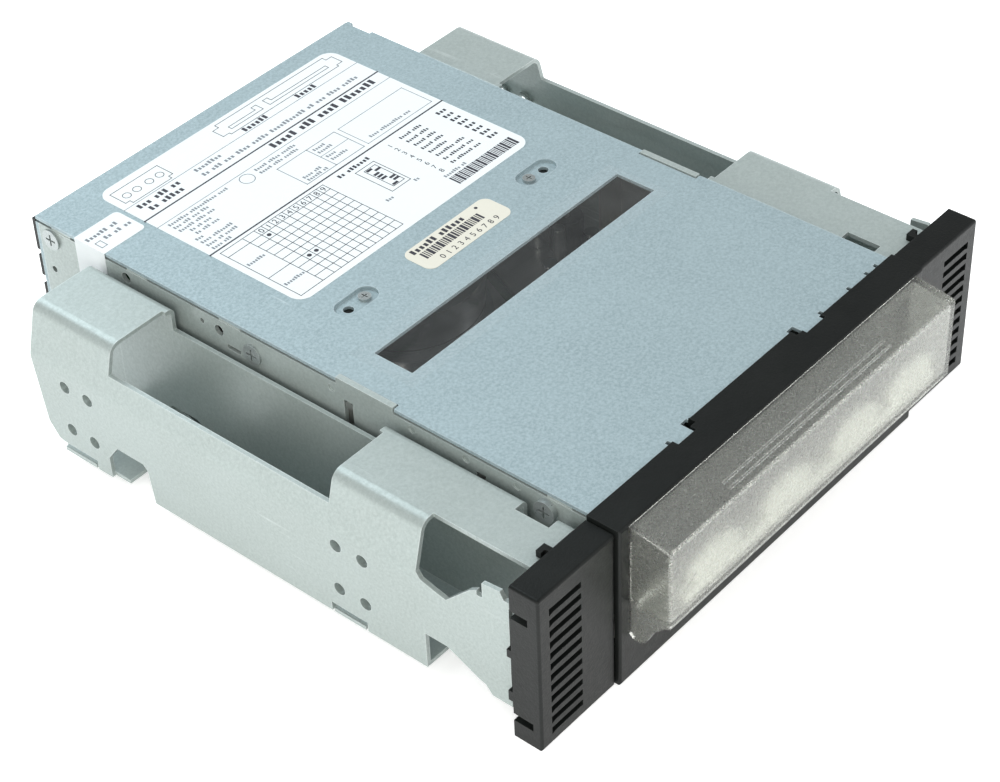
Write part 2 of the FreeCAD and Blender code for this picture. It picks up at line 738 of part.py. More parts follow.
def left_extension():
    outer = bay_width / 2
    inner = bezel_width / 2 + fit_gap
    shell = box(-outer, -inner, 0, bezel_depth, 0, extension_height)
    shell = rounded_edges(shell, bezel_round,
                          lambda edge: edge.BoundBox.YMax < 0.01 or
                          (edge.BoundBox.XMax < -outer + 0.01 and edge.BoundBox.ZMin > extension_height - 0.01))
    hollow = box(-outer + extension_wall, -inner - extension_wall, extension_skin, bezel_depth,
                 extension_wall, extension_height - extension_wall)
    shell = shell.cut(hollow)
    # Vent slots, wider at their outer ends
    pitch = (vent_high - vent_low) / (vent_count - 1)
    x0 = -outer + vent_inset
    x1 = x0 + vent_length
    for index in range(vent_count):
        z = vent_low + pitch * index
        slot = [(x0, z - vent_width * 0.75), (x0 + 1.2, z - vent_width / 2), (x1, z - vent_width / 2),
                (x1, z + vent_width / 2), (x0 + 1.2, z + vent_width / 2), (x0, z + vent_width * 0.5)]
        shell = shell.cut(prism_y(slot, -0.5, extension_skin + 0.5))
    # Side pockets: the upper takes the bracket's tongue, the lower leaves a foot
    shell = shell.cut(box(-outer, -outer + extension_wall + 0.2, tongue_reach - fit_gap, bezel_depth,
                          pocket_z - pocket_height / 2, pocket_z + pocket_height / 2))
    shell = shell.cut(box(-outer, -outer + extension_wall, 2.1, bezel_depth, 4.4, 6.3))
    # Hook over the bracket's flange, and lugs behind the side wall
    hook_x = -outer + 12.0
    neck = box(hook_x, hook_x + 1.3, bezel_depth - 1.0, bezel_depth + 2.2, flange_top + 0.1,
               extension_height - 0.4)
    head = box(hook_x - 1.2, hook_x + 1.3, bezel_depth + 1.2, bezel_depth + 2.4, flange_top + 0.1,
               extension_height - 0.4)
    shell = fuse(shell, neck, head)
    for z0, z1 in ((21.2, 23.2), (9.4, 12.0)):
        shell = fuse(shell, box(-outer, -outer + 1.3, bezel_depth - 0.5, bezel_depth + 1.1, z0, z1))
    return shell


def front_guard():
    y0 = bezel_front
    y1 = guard_front
    front_high = guard_high - guard_front_drop
    side_outline = [(y0, guard_high), (y1, front_high), (y1, guard_low), (y1 + 1.5, guard_low - 0.6),
                    (y0 - guard_tail_depth, guard_low - 3.2), (y0 - 4.0, guard_tail_low + 0.8),
                    (y0 - 2.8, guard_tail_low), (y0 - 1.0, guard_tail_low), (y0, guard_tail_low + 1.0)]
    block = prism_x(side_outline, -guard_half_width, guard_half_width)
    block = rounded_edges(block, 0.5, lambda edge: edge.BoundBox.ZMin > guard_low - 0.1 and
                          edge.BoundBox.YMax < y0 - 0.2)
    inside = [(y0, guard_high - guard_wall), (y1 + guard_wall, front_high - guard_wall),
              (y1 + guard_wall, guard_low), (y1 + guard_wall, 0.0), (y0, 0.0)]
    inner = guard_half_width - guard_wall
    shell = block.cut(prism_x(inside, -inner, inner))
    # The front is closed below by a floor; the tails hang at the two ends only
    floor = box(-inner, inner, y1 + 0.6, y0 - 1.4, guard_low, guard_low + guard_wall)
    shell = fuse(shell, floor)
    # Grip ribs on the top, and an arrow at each end of the front
    slope = guard_front_drop / guard_depth
    for shift in (0.0, 1.7):
        y = y1 + 1.9 + shift
        z = front_high + slope * (y - y1)
        shell = fuse(shell, box(-27.6, 27.6, y, y + 0.5, z - 0.3, z + 0.35))
    for side in (-1, 1):
        arrow_z = guard_low + arrow_height
        arrow = [(side * 44.0, arrow_z), (side * 41.0, arrow_z - 2.0), (side * 41.0, arrow_z + 2.0)]
        shell = fuse(shell, prism_y(arrow, y1 - arrow_rise, y1 + 0.3))
    # Tongues that hold the guard in the cassette opening
    for side in (-1, 1):
        x = sorted((side * (opening_width / 2 - part_gap), side * (opening_width / 2 - 8.0)))
        shell = fuse(shell, box(x[0], x[1], y0 - guard_wall - 1.0, y0 + 0.9,
                                opening_low + part_gap, opening_low + part_gap + 1.0))
        web = box(x[0], x[1], y0 - 2.4, y0 - 1.4, guard_low, opening_low + part_gap + 1.0)
        shell = fuse(shell, web)
    return shell


def tape_door():
    half = half_body - 2.4 - fit_gap
    panel = box(-half, half, door_face, door_face + door_thickness, door_bottom, door_axis_z)
    knuckle = rod(door_knuckle, -half, door_axis_y, door_axis_z, 2 * half, (1, 0, 0))
    door = fuse(panel, knuckle)
    door = door.cut(rod(door_pin_radius + running_gap, -half, door_axis_y, door_axis_z, 2 * half, (1, 0, 0)))
    # The return spring sits in a gap of the knuckle
    gap = box(half - 7.0, half - 3.0, door_face - 1.0, door_face + door_thickness + 1.0,
              door_axis_z - door_knuckle - 0.4, door_axis_z + 2.0)
    return door.cut(gap)


def door_pin():
    reach = bezel_width / 2 - 1.0
    return rod(door_pin_radius, -reach, door_axis_y, door_axis_z, 2 * reach, (1, 0, 0))


def door_spring():
    """Torsion spring wound round the door's pin."""
    half = half_body - 2.4 - fit_gap
    wire = 0.15
    length = 2.6
    helix = Part.makeHelix(length / 6, length, door_pin_radius + wire + 0.06)
    profile = Part.Wire(Part.makeCircle(wire, Vector(door_pin_radius + wire + 0.06, 0, 0), Vector(0, 1, 0)))
    coil = Part.Wire(helix).makePipeShell([profile], True, True)
    coil.rotate(Vector(0, 0, 0), Vector(0, 1, 0), 90)
    return placed(coil, half - 6.3, door_axis_y, door_axis_z)


def eject_button():
    inside = bezel_front + bezel_skin
    cap = box(button_x - button_width / 2, button_x + button_width / 2, bezel_front - button_proud,
              inside + 0.6, button_z - button_height / 2, button_z + button_height / 2)
    cap = rounded_edges(cap, 0.4, lambda edge: edge.BoundBox.YMax < bezel_front - button_proud + 0.01)
    flange = box(button_x - button_width / 2 - 1.0, button_x + button_width / 2 + 1.0, inside + 0.02,
                 inside + 1.0, button_z - button_height / 2 - 1.0, button_z + button_height / 2 + 1.0)
    stem_end = switch_face() - button_travel - 0.05
    stem = rod(1.5, button_x, inside, button_z, stem_end - inside, (0, 1, 0))
    return fuse(cap, flange, stem)


def switch_face():
    return front_board_y - 3.2


def front_components():
    switch = box(button_x - 3.0, button_x + 3.0, switch_face() + 0.6, front_board_y, button_z - 3.0,
                 button_z + 3.0)
    dome = rod(1.7, button_x, switch_face(), button_z, 0.7, (0, 1, 0))
    lights = [box(x - 1.0, x + 1.0, front_board_y - 1.2, front_board_y, pipe_z - 0.8, pipe_z + 0.8)
              for x in pipe_x]
    socket = box(-9.0, 9.0, front_board_y + board_thickness, front_board_y + board_thickness + 3.0, 8.0, 12.0)
    return [fuse(switch, dome), socket] + lights


def light_pipes():
    end = front_board_y - 1.3
    return [rod(pipe_radius, x, bezel_front, pipe_z, end - bezel_front, (0, 1, 0)) for x in pipe_x]


def front_board():
    board = box(-front_board_half, front_board_half, front_board_y, front_board_y + board_thickness,
                board_bottom, opening_low - front_board_drop)
    for side in (-1, 1):
        board = board.cut(rod(screw_shank, side * front_boss_x, front_board_y, front_boss_z, board_thickness,
                              (0, 1, 0)))
    return board


# Boards and connectors

def main_board():
    half = inner_half - 1.0
    board = box(-half, half, deck_front + 2.0, body_rear - 3.0, board_bottom, board_top)
    for x, y in board_posts:
        board = board.cut(rod(screw_shank, x, y, board_bottom, board_thickness))
    for x, y in deck_posts:
        board = board.cut(rod(deck_post_radius + fit_gap, x, y, board_bottom, board_thickness))
    return board


def board_chips():
    return [box(x - w / 2, x + w / 2, y - d / 2, y + d / 2, board_top, board_top + h)
            for x, y, w, d, h in chip_places]


def rear_board():
    board = box(-inner_half + 1.0, inner_half - 1.0, rear_board_front, body_rear - 3.0,
                rear_board_z, rear_board_z + board_thickness)
    for x, y in spacer_posts:
        board = board.cut(rod(screw_shank, x, y, rear_board_z, board_thickness))
    return board


def board_spacers():
    height = rear_board_z - board_top
    posts = []
    for x, y in spacer_posts:
        post = rod(spacer_radius, x, y, board_top, height)
        posts.append(post.cut(rod(screw_shank, x, y, board_top + height - 4.0, 4.0)))
    return posts


def power_connector():
    x0 = power_x - power_width / 2
    x1 = power_x + power_width / 2
    y1 = rear_end
    y0 = y1 - power_depth
    top = board_top + power_height
    shell = box(x0, x1, y0, y1, board_top, top)
    cavity = [(x0 + 1.0, board_top + 1.0), (x1 - 1.0, board_top + 1.0), (x1 - 1.0, top - 2.6),
              (x1 - 2.6, top - 1.0), (x0 + 2.6, top - 1.0), (x0 + 1.0, top - 2.6)]
    shell = shell.cut(prism_y(cavity, y0 + 2.5, y1))
    for x in power_pin_places():
        shell = shell.cut(rod(1.0, x, y0, board_top + power_height / 2, 2.5, (0, 1, 0)))
    return shell


def power_pin_places():
    return [power_x + pin_spacing * (index - 1.5) for index in range(4)]


def power_pins():
    y0 = rear_end - power_depth
    return [rod(1.0, x, y0, board_top + power_height / 2, power_depth - 1.5, (0, 1, 0))
            for x in power_pin_places()]


def data_connector():
    x0 = data_x - data_width / 2
    x1 = data_x + data_width / 2
    y1 = rear_end
    y0 = y1 - data_depth
    top = board_top + data_height
    shell = box(x0, x1, y0, y1, board_top, top)
    shell = shell.cut(box(x0 + 1.2, x1 - 1.2, y0 + 2.0, y1, board_top + 1.0, top - 1.0))
    tongue_z = board_top + data_height / 2 - 0.6
    split = x0 + 1.2 + 14.0
    tongues = [box(x0 + 4.0, split, y0 + 1.0, y1 - 1.0, tongue_z, tongue_z + 1.2),
               box(split + 2.4, x1 - 4.0, y0 + 1.0, y1 - 1.0, tongue_z, tongue_z + 1.2)]
    return fuse(shell, *tongues)


def data_contacts():
    x0 = data_x - data_width / 2 + 4.6
    y0 = rear_end - data_depth + 2.2
    top = board_top + data_height / 2 + 0.6
    contacts = []
    for index in range(contact_count):
        shift = 3.6 if index >= 8 else 0.0
        x = x0 + contact_pitch * index + shift
        contacts.append(box(x, x + 0.7, y0, rear_end - 1.6, top, top + 0.15))
    return contacts


def switch_places():
    return [switch_pitch * (index - (switch_count - 1) / 2) for index in range(switch_count)]


def dip_switch_body():
    bottom = board_bottom - switch_height
    half_slot_x = lever_size / 2 + part_gap
    half_slot_y = (lever_size + lever_travel) / 2 + part_gap
    body = box(-switch_length / 2, switch_length / 2, switch_y - switch_width / 2, switch_y + switch_width / 2,
               bottom, board_bottom)
    for x in switch_places():
        body = body.cut(box(x - half_slot_x, x + half_slot_x, switch_y - half_slot_y, switch_y + half_slot_y,
                            bottom, bottom + lever_slot_depth))
    return body


def dip_lever(x):
    bottom = board_bottom - switch_height
    return box(x - lever_size / 2, x + lever_size / 2, switch_y - (lever_size + lever_travel) / 2,
               switch_y + (lever_size - lever_travel) / 2, bottom - lever_proud,
               bottom + lever_slot_depth - lever_floor_gap)


# Deck, lift and tape path

def deck_plate():
    half = inner_half - deck_margin
    plate = box(-half, half, deck_front, deck_rear, deck_bottom, deck_top)
    start = Vector(carriage_start[0], carriage_start[1], 0)
    end = Vector(carriage_end[0], carriage_end[1], 0)
    for side in (-1, 1):
        plate = plate.cut(carriage_slot(start, end, side))
        x = side * reel_spacing / 2
        plate = fuse(plate, rod(post_radius, x, reel_y, deck_top, 7.6))
    plate = plate.cut(rod(3.2, capstan_x, capstan_y, deck_bottom, deck_thickness))
    bush = tube(3.2, post_radius + running_gap, capstan_x, capstan_y, deck_bottom, deck_thickness + 3.0)
    plate = fuse(plate, bush)
    plate = fuse(plate, rod(post_radius, arm_pivot_x, arm_pivot_y, deck_top, arm_z - deck_top + 3.4))
    plate = fuse(plate, rod(cam_axle(), cam_x, cam_y, deck_top, wheel_bottom + wheel_thickness - deck_top + 0.8))
    for x, y in deck_posts:
        plate = plate.cut(rod(screw_shank, x, y, deck_bottom, deck_thickness))
        plate = plate.cut(Part.makeCone(screw_shank, screw_head, deck_thickness, Vector(x, y, deck_bottom)))
    return plate


def cam_axle():
    return post_radius + 0.5


def carriage_slot(start, end, side):
    """Straight slot through the deck for one tape guide carriage."""
    width = 3.0
    first = Vector(side * start.x, start.y, deck_bottom)
    second = Vector(side * end.x, end.y, deck_bottom)
    direction = (second - first).normalize()
    across = Vector(-direction.y, direction.x, 0) * (width / 2)
    outline = [first - across, second - across, second + across, first + across]
    strip = face_of(outline).extrude(Vector(0, 0, deck_thickness))
    ends = [rod(width / 2, point.x, point.y, deck_bottom, deck_thickness) for point in (first, second)]
    return fuse(strip, *ends)


def carriage(side):
    """Sled that carries one guide roller along its slot in the deck."""
    x = side * carriage_start[0]
    y = carriage_start[1]
    base = rod(carriage_width / 2, x, y, deck_top + part_gap, 0.8)
    neck = rod(1.3, x, y, deck_bottom - part_gap, deck_thickness + 2 * part_gap)
    keeper = rod(3.0, x, y, deck_bottom - part_gap - 0.6, 0.6)
    post = rod(1.2, x, y, deck_top + part_gap + 0.8, tape_post_top - deck_top - part_gap - 0.8)
    low_flange = rod(2.6, x, y, tape_low, tape_flange)
    roller = rod(2.1, x, y, tape_low + tape_flange, tape_post_top - tape_low - 2 * tape_flange)
    cap = rod(2.6, x, y, tape_post_top - tape_flange, tape_flange)
    return fuse(base, neck, keeper, post, low_flange, roller, cap)


def guide_posts():
    posts = []
    for x, y in guide_post_places:
        post = rod(1.0, x, y, deck_top, tape_post_top - deck_top)
        foot = rod(2.0, x, y, deck_top, 1.2)
        low = rod(1.8, x, y, tape_low, tape_flange)
        cap = rod(1.8, x, y, tape_post_top - tape_flange, tape_flange)
        posts.append(fuse(post, foot, low, cap))
    return posts


def reel_table(side):
    x = side * reel_spacing / 2
    disc = rod(reel_radius, x, reel_y, deck_top + part_gap, 0.8)
    hub = rod(3.4, x, reel_y, deck_top + part_gap, 8.2)
    table = fuse(disc, hub)
    for index in range(3):
        spline = box(3.0, 4.4, -0.5, 0.5, deck_top + 2.0, deck_top + 7.0)
        spline.rotate(Vector(0, 0, 0), Vector(0, 0, 1), 120 * index)
        table = fuse(table, placed(spline, x, reel_y, 0))
    return table.cut(rod(post_radius + running_gap, x, reel_y, deck_top, 9.0))


def drum_place(shape):
    """Leans a part of the drum from upright onto the tilted drum axis."""
    leaning = shape.copy()
    leaning.rotate(Vector(0, 0, 0), Vector(1, 0, 0), drum_tilt)
    return placed(leaning, 0, drum_y, deck_top)


def drum_base():
    sunk = 4.0
    lower = drum_place(fuse(rod(drum_radius, 0, 0, -sunk, drum_base_height + sunk),
                            rod(drum_radius + drum_flange, 0, 0, -sunk, sunk + 3.4)))
    keep = box(-40, 40, drum_y - 40, drum_y + 40, deck_top, deck_top + 40)
    lower = lower.common(keep)
    return lower.cut(drum_place(rod(3.0 + running_gap, 0, 0, 2.2, drum_base_height)))


def drum_rotor():
    z0 = drum_base_height + drum_gap
    body = fuse(rod(drum_radius, 0, 0, z0, rotor_height),
                rod(7.0, 0, 0, z0 + rotor_height, 1.2),
                rod(3.0, 0, 0, 2.4, z0))
    for index in range(4):
        angle = math.radians(45 + 90 * index)
        body = body.cut(rod(1.6, 13.0 * math.cos(angle), 13.0 * math.sin(angle), z0 + rotor_height - 1.5, 2.0))
    for index in range(2):
        window = box(drum_radius - 1.4, drum_radius + 1.0, -1.6, 1.6, z0 - 0.1, z0 + 1.5)
        window.rotate(Vector(0, 0, 0), Vector(0, 0, 1), 180 * index + 30)
        body = body.cut(window)
    return drum_place(body)


def capstan():
    shaft = rod(post_radius, capstan_x, capstan_y, flywheel_bottom, capstan_top - flywheel_bottom)
    wheel = rod(flywheel_radius, capstan_x, capstan_y, flywheel_bottom, flywheel_thickness)
    hub = rod(2.8, capstan_x, capstan_y, flywheel_bottom, deck_bottom - flywheel_bottom - part_gap)
    return fuse(shaft, wheel, hub)


def roller_place():
    angle = math.radians(arm_rest_angle)
    return (arm_pivot_x + arm_length * math.cos(angle), arm_pivot_y + arm_length * math.sin(angle))


def pinch_arm():
    x, y = roller_place()
    hub = rod(3.2, arm_pivot_x, arm_pivot_y, deck_top + part_gap, arm_z - deck_top + 2.8)
    dx = x - arm_pivot_x
    dy = y - arm_pivot_y
    length = math.hypot(dx, dy)
    nx = -dy / length * 1.9
    ny = dx / length * 1.9
    bar = prism_z([(arm_pivot_x - nx, arm_pivot_y - ny), (x - nx, y - ny), (x + nx, y + ny),
                   (arm_pivot_x + nx, arm_pivot_y + ny)], arm_z, arm_z + arm_thickness)
    tip = rod(1.9, x, y, arm_z, arm_thickness)
    axle = rod(0.8, x, y, arm_z, tape_post_top + 2.2 - arm_z)
    arm = fuse(hub, bar, tip, axle)
    return arm.cut(rod(post_radius + running_gap, arm_pivot_x, arm_pivot_y, deck_top, 10.0))


def pinch_roller():
    x, y = roller_place()
    z0 = arm_z + arm_thickness + part_gap
    return tube(pinch_radius, 0.8 + running_gap, x, y, z0, tape_post_top + 1.6 - z0)


def cassette_carrier():
    half = carrier_half
    side = box(-half, -carrier_inner_half, carrier_front, carrier_rear, carrier_bottom, carrier_top)
    lip = box(-half, -half + carrier_lip, carrier_front, carrier_rear, carrier_bottom,
              carrier_bottom + carrier_sheet)
    stop = box(-half, -half + 8.0, cassette_rear + part_gap, cassette_rear + part_gap + carrier_sheet,
               carrier_bottom + 3.0, carrier_top - 3.0)
    left = fuse(side, lip, stop)
    for y in pin_places:
        pin = rod(pin_radius, -half, y, pin_z, half_body - part_gap - half, (-1, 0, 0))
        left = fuse(left, pin)
    top = box(-half, half, carrier_front, carrier_top_rear, carrier_inner_top, carrier_top)
    carrier = fuse(top, left, mirrored(left))
    window = placed(obround(40.0, 14.0, carrier_sheet, "z"), 0, (carrier_front + carrier_top_rear) / 2,
                    carrier_inner_top)
    return carrier.cut(window)


def lift_slider():
    """Left lift plate: a slanted slot for each carrier pin, and the rack that drives it."""
    low = pin_z - lift_drop - pin_radius - 1.6
    high = pin_z + pin_radius + 1.2
    front = pin_front - slider_travel - pin_radius - 2.5
    rear = pin_places[1] + pin_radius + 3.5
    plate = box(-slider_outer, -slider_inner, front, rear, low, high)
    slot_radius = pin_radius + pin_slot_gap
    for y in pin_places:
        plate = plate.cut(slanted_slot(y, slot_radius))
    arm = box(-slider_outer, -slider_inner, rear - 1.0, brace_y - 2.2, bar_bottom() - 3.0, high)
    return fuse(plate, arm)


def bar_bottom():
    return pin_z - 2.0


def slanted_slot(y, radius):
    first = Vector(-slider_outer, y, pin_z)
    second = Vector(-slider_outer, y - slider_travel, pin_z - lift_drop)
    direction = (second - first).normalize()
    across = Vector(0, -direction.z, direction.y) * radius
    strip = face_of([first - across, second - across, second + across, first + across])
    strip = strip.extrude(Vector(slider_sheet, 0, 0))
    ends = [rod(radius, point.x, point.y, point.z, slider_sheet, (1, 0, 0)) for point in (first, second)]
    return fuse(strip, *ends)


def lift_cross_bar():
    y1 = brace_y - 2.4
    y0 = carrier_rear + 1.0
    bar = box(-slider_inner, slider_inner, y0, y1, bar_bottom(), bar_bottom() + 1.2)
    return bar


def rack_bar():
    """Rack beside the cam gear, and the foot that joins it to the left lift plate."""
    root = cam_x - cam_pinion_pitch - 1.15 * gear_module
    x0 = root - 2.4
    z0 = deck_top + 0.6
    z1 = z0 + 1.6
    foot_y = carrier_rear + 0.5
    foot_end = brace_y - 2.2
    upright = box(-slider_outer, -slider_inner, foot_y, foot_end, z0, bar_bottom() - 2.0)
    foot = box(-slider_outer, x0 + 1.0, foot_y, foot_end, z0, z0 + 0.8)
    bar = box(x0, root, foot_y, cam_y + 3.5, z0, z1)
    rack = fuse(upright, foot, bar)
    pitch = math.pi * gear_module
    count = int((slider_travel + 2 * pitch) / pitch) + 1
    for index in range(count):
        y = cam_y + pitch / 2 - pitch * index
        tooth = [(root - 0.2, y - 0.27 * pitch), (root + 1.15 * gear_module, y - 0.2 * pitch),
                 (root + 1.9 * gear_module, y - 0.11 * pitch), (root + 1.9 * gear_module, y + 0.11 * pitch),
                 (root + 1.15 * gear_module, y + 0.2 * pitch), (root - 0.2, y + 0.27 * pitch)]
        rack = fuse(rack, prism_z(tooth, z0, z1))
    return rack


def spur_gear(teeth, module, thickness, first_angle):
    """Spur gear at the origin with a tooth centred on first_angle, in degrees."""
    pitch_radius = module * teeth / 2
    root = pitch_radius - 1.15 * module
    tip = pitch_radius + 0.75 * module
    step = 2 * math.pi / teeth
    points = []
    for index in range(teeth):
        centre = math.radians(first_angle) + step * index
        for radius, share in ((root, -0.29), (pitch_radius, -0.2), (tip, -0.1),
                              (tip, 0.1), (pitch_radius, 0.2), (root, 0.29)):
            angle = centre + share * step
            points.append((radius * math.cos(angle), radius * math.sin(angle)))
    return prism_z(points, 0, thickness)


def cam_gear():
    pinion = spur_gear(cam_pinion_teeth, gear_module, 2.2, 180.0)
    pinion = placed(pinion, cam_x, cam_y, deck_top + 0.4)
    sleeve = rod(cam_axle() + 2.0, cam_x, cam_y, deck_top + part_gap, wheel_bottom - deck_top)
    wheel = spur_gear(wheel_teeth, wheel_module, wheel_thickness, motor_direction)
    wheel = placed(wheel, cam_x, cam_y, wheel_bottom)
    gear = fuse(pinion, sleeve, wheel)
    return gear.cut(rod(cam_axle() + running_gap, cam_x, cam_y, deck_top, 20.0))


def motor_pinion():
    gap_angle = motor_direction + 180.0 + 180.0 / motor_pinion_teeth
    gear = spur_gear(motor_pinion_teeth, wheel_module, wheel_thickness + 0.6, gap_angle)
    gear = placed(gear, motor_x, motor_y, wheel_bottom - 0.3)
    return gear.cut(rod(0.75 + running_gap, motor_x, motor_y, 0, 40.0))


def loading_motor():
    top = wheel_bottom - 0.6
    can = rod(motor_radius, motor_x, motor_y, deck_top, top - deck_top)
    boss = rod(1.5, motor_x, motor_y, top, 0.2)
    shaft = rod(0.75, motor_x, motor_y, top, wheel_thickness + 1.4)
    return fuse(can, boss, shaft)


# Labels and fasteners

def rounded_label(place, radius):
    label = box(*place, cover_top, cover_top + label_thickness)
    return rounded_edges(label, radius, along("z"))


def main_label():
    return rounded_label(main_label_place, main_label_round)


def small_label():
    return rounded_label(small_label_place, small_label_round)


def seal_label():
    half = half_body
    top = box(-half - label_thickness, seal_right, seal_y[0], seal_y[1], cover_top, cover_top + label_thickness)
    top = rounded_edges(top, seal_round, lambda edge: along("z")(edge) and edge.BoundBox.XMin > -half)
    side = box(-half - label_thickness, -half, seal_y[0], seal_y[1], cover_top - seal_length, cover_top)
    return fuse(top, side)


def window_film():
    left, right, front, rear = film_margins
    edge = window_length / 2
    return box(-edge - left, edge + right, window_front - front, window_front + window_depth + rear,
               cover_top, cover_top + film_thickness)


def screw(x, y, z, axis, length, head_height, countersunk=False):
    """Screw with its head's seat at the point and its shank along the axis."""
    shank = rod(screw_shank, x, y, z, length, axis)
    back = tuple(-value for value in axis)
    if countersunk:
        head = Part.makeCone(screw_head, screw_shank, head_height, Vector(x, y, z), Vector(*axis))
    else:
        head = rod(screw_head, x, y, z, head_height, back)
    slot = 0.5
    top = Vector(x, y, z) + Vector(*back) * (0 if countersunk else head_height)
    drive = box(-1.5, 1.5, -slot / 2, slot / 2, -0.5, 0.5).fuse(box(-slot / 2, slot / 2, -1.5, 1.5, -0.5, 0.5))
    drive.Placement = FreeCAD.Placement(top, FreeCAD.Rotation(Vector(0, 0, 1), Vector(*axis)))
    return fuse(shank, head).cut(drive)


def drive_screw(x, y, z, axis, length):
    """Wider machine screw that holds a bracket to the drive."""
    back = tuple(-value for value in axis)
    shank = rod(mount_radius, x, y, z, length, axis)
    head = rod(2.7, x, y, z, 1.5, back)
    drive = rod(1.2, x, y, z, 1.5, back).cut(rod(1.2, x, y, z, 0.7, back))
    return fuse(shank, head).cut(drive)


def pan_head_screws():
    screws = []
    seat = half_body + sheet
    for side in (-1, 1):
        inward = (-side, 0, 0)
        for y in drive_screws:
            screws.append(drive_screw(side * seat, y, drive_screw_z, inward, seat - inner_half - 0.1))
        screws.append(screw(side * half_body, front_screw[0], front_screw[1], inward, wall, 1.4))
        screws.append(screw(side * front_boss_x, front_board_y + board_thickness, front_boss_z, (0, -1, 0),
                            4.6, 1.2))
    for x, y in spacer_posts:
        screws.append(screw(x, y, rear_board_z + board_thickness, (0, 0, -1), 4.0, 1.2))
    return screws


def flat_head_screws():
    screws = []
    for side in (-1, 1):
        dish_floor = cover_bottom
        screws.append(screw(side * cover_screw_x, brace_y, dish_floor, (0, 0, -1), 3.0, 0.7))
        for y, z in rear_screws:
            screws.append(screw(side * half_body, y, z, (-side, 0, 0), wall, 0.6))
    for x, y in deck_posts:
        screws.append(screw(x, y, deck_top, (0, 0, -1), 4.2, deck_thickness, True))
    for x, y in board_posts:
        screws.append(screw(x, y, board_top, (0, 0, -1), 3.4, 0.9))
    return screws


def main():
    os.makedirs("parts", exist_ok=True)
    save("chassis", chassis())
    save("top_cover", top_cover())
    save("cross_brace", cross_brace())
    save("rear_panel", rear_panel())
    save("rear_trim", rear_trim())
    bracket = left_bracket()
    save("bracket_left", bracket)
    save("bracket_right", mirrored(bracket))
    save("centre_bezel", centre_bezel())
    save("bezel_clip", bezel_clip())
    extension = left_extension()
    save("bezel_extension_left", extension)
    save("bezel_extension_right", mirrored(extension))
    save("front_guard", front_guard())
    save("tape_door", tape_door())
    save("door_pin", door_pin())
    save("door_spring", door_spring())
    save("eject_button", eject_button())
    save("front_components", *front_components())
    save("light_pipes", *light_pipes())
    save("front_board", front_board())
    save("main_board", main_board())
    save("board_chips", *board_chips())
    save("rear_board", rear_board())
    save("board_spacers", *board_spacers())
    save("power_connector", power_connector())
    save("power_pins", *power_pins())
    save("data_connector", data_connector())
    save("data_contacts", *data_contacts())
    save("dip_switch_body", dip_switch_body())
    for number, x in enumerate(switch_places(), 1):
        save("dip_lever_%d" % number, dip_lever(x))
    save("deck_plate", deck_plate())
    save("guide_posts", *guide_posts())
    save("reel_table_left", reel_table(-1))
    save("reel_table_right", reel_table(1))
    save("drum_base", drum_base())
    save("drum_rotor", drum_rotor())
    save("capstan", capstan())
    save("pinch_arm", pinch_arm())
    save("pinch_roller", pinch_roller())
    save("carriage_left", carriage(-1))
    save("carriage_right", carriage(1))
    save("cassette_carrier", cassette_carrier())
    slider = lift_slider()
    save("lift_slider_left", fuse(slider, rack_bar()))
    save("lift_slider_right", mirrored(slider))
    save("lift_cross_bar", lift_cross_bar())
    save("cam_gear", cam_gear())
    save("motor_pinion", motor_pinion())
    save("loading_motor", loading_motor())
    save("main_label", main_label())
    save("small_label", small_label())
    save("seal_label", seal_label())
    save("window_film", window_film())
    save("pan_head_screws", *pan_head_screws())
    save("flat_head_screws", *flat_head_screws())


main()
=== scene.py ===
import bpy
import bmesh
import math
from mathutils import Matrix, Vector


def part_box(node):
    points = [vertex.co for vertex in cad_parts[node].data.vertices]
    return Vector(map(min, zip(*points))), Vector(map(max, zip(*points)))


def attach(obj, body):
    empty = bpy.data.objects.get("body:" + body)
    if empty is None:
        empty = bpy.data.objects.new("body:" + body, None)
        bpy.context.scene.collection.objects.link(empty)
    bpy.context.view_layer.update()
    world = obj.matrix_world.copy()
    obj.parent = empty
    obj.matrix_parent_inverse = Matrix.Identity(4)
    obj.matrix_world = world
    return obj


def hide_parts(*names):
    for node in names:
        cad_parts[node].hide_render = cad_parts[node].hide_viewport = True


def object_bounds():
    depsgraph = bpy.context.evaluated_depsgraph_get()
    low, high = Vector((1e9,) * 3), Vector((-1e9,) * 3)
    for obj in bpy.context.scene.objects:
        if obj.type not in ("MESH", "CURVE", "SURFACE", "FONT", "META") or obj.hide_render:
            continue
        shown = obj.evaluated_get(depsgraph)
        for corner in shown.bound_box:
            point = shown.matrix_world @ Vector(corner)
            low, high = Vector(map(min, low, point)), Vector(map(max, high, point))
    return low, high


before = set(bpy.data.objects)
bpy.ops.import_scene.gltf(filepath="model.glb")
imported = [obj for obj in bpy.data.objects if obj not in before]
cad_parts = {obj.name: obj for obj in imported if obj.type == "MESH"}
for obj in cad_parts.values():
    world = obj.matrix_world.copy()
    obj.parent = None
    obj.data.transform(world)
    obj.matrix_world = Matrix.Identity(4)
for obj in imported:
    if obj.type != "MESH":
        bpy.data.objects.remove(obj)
cadLow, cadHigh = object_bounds()
mm = 0.001
print("frame loaded:", len(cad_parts), "nodes")


def addNode(tree, kind, values=None, **settings):
    node = tree.nodes.new(kind)
    for key, value in settings.items():
        setattr(node, key, value)
    for key, value in (values or {}).items():
        node.inputs[key].default_value = value
    return node


def link(tree, source, target):
    tree.links.new(source, target)


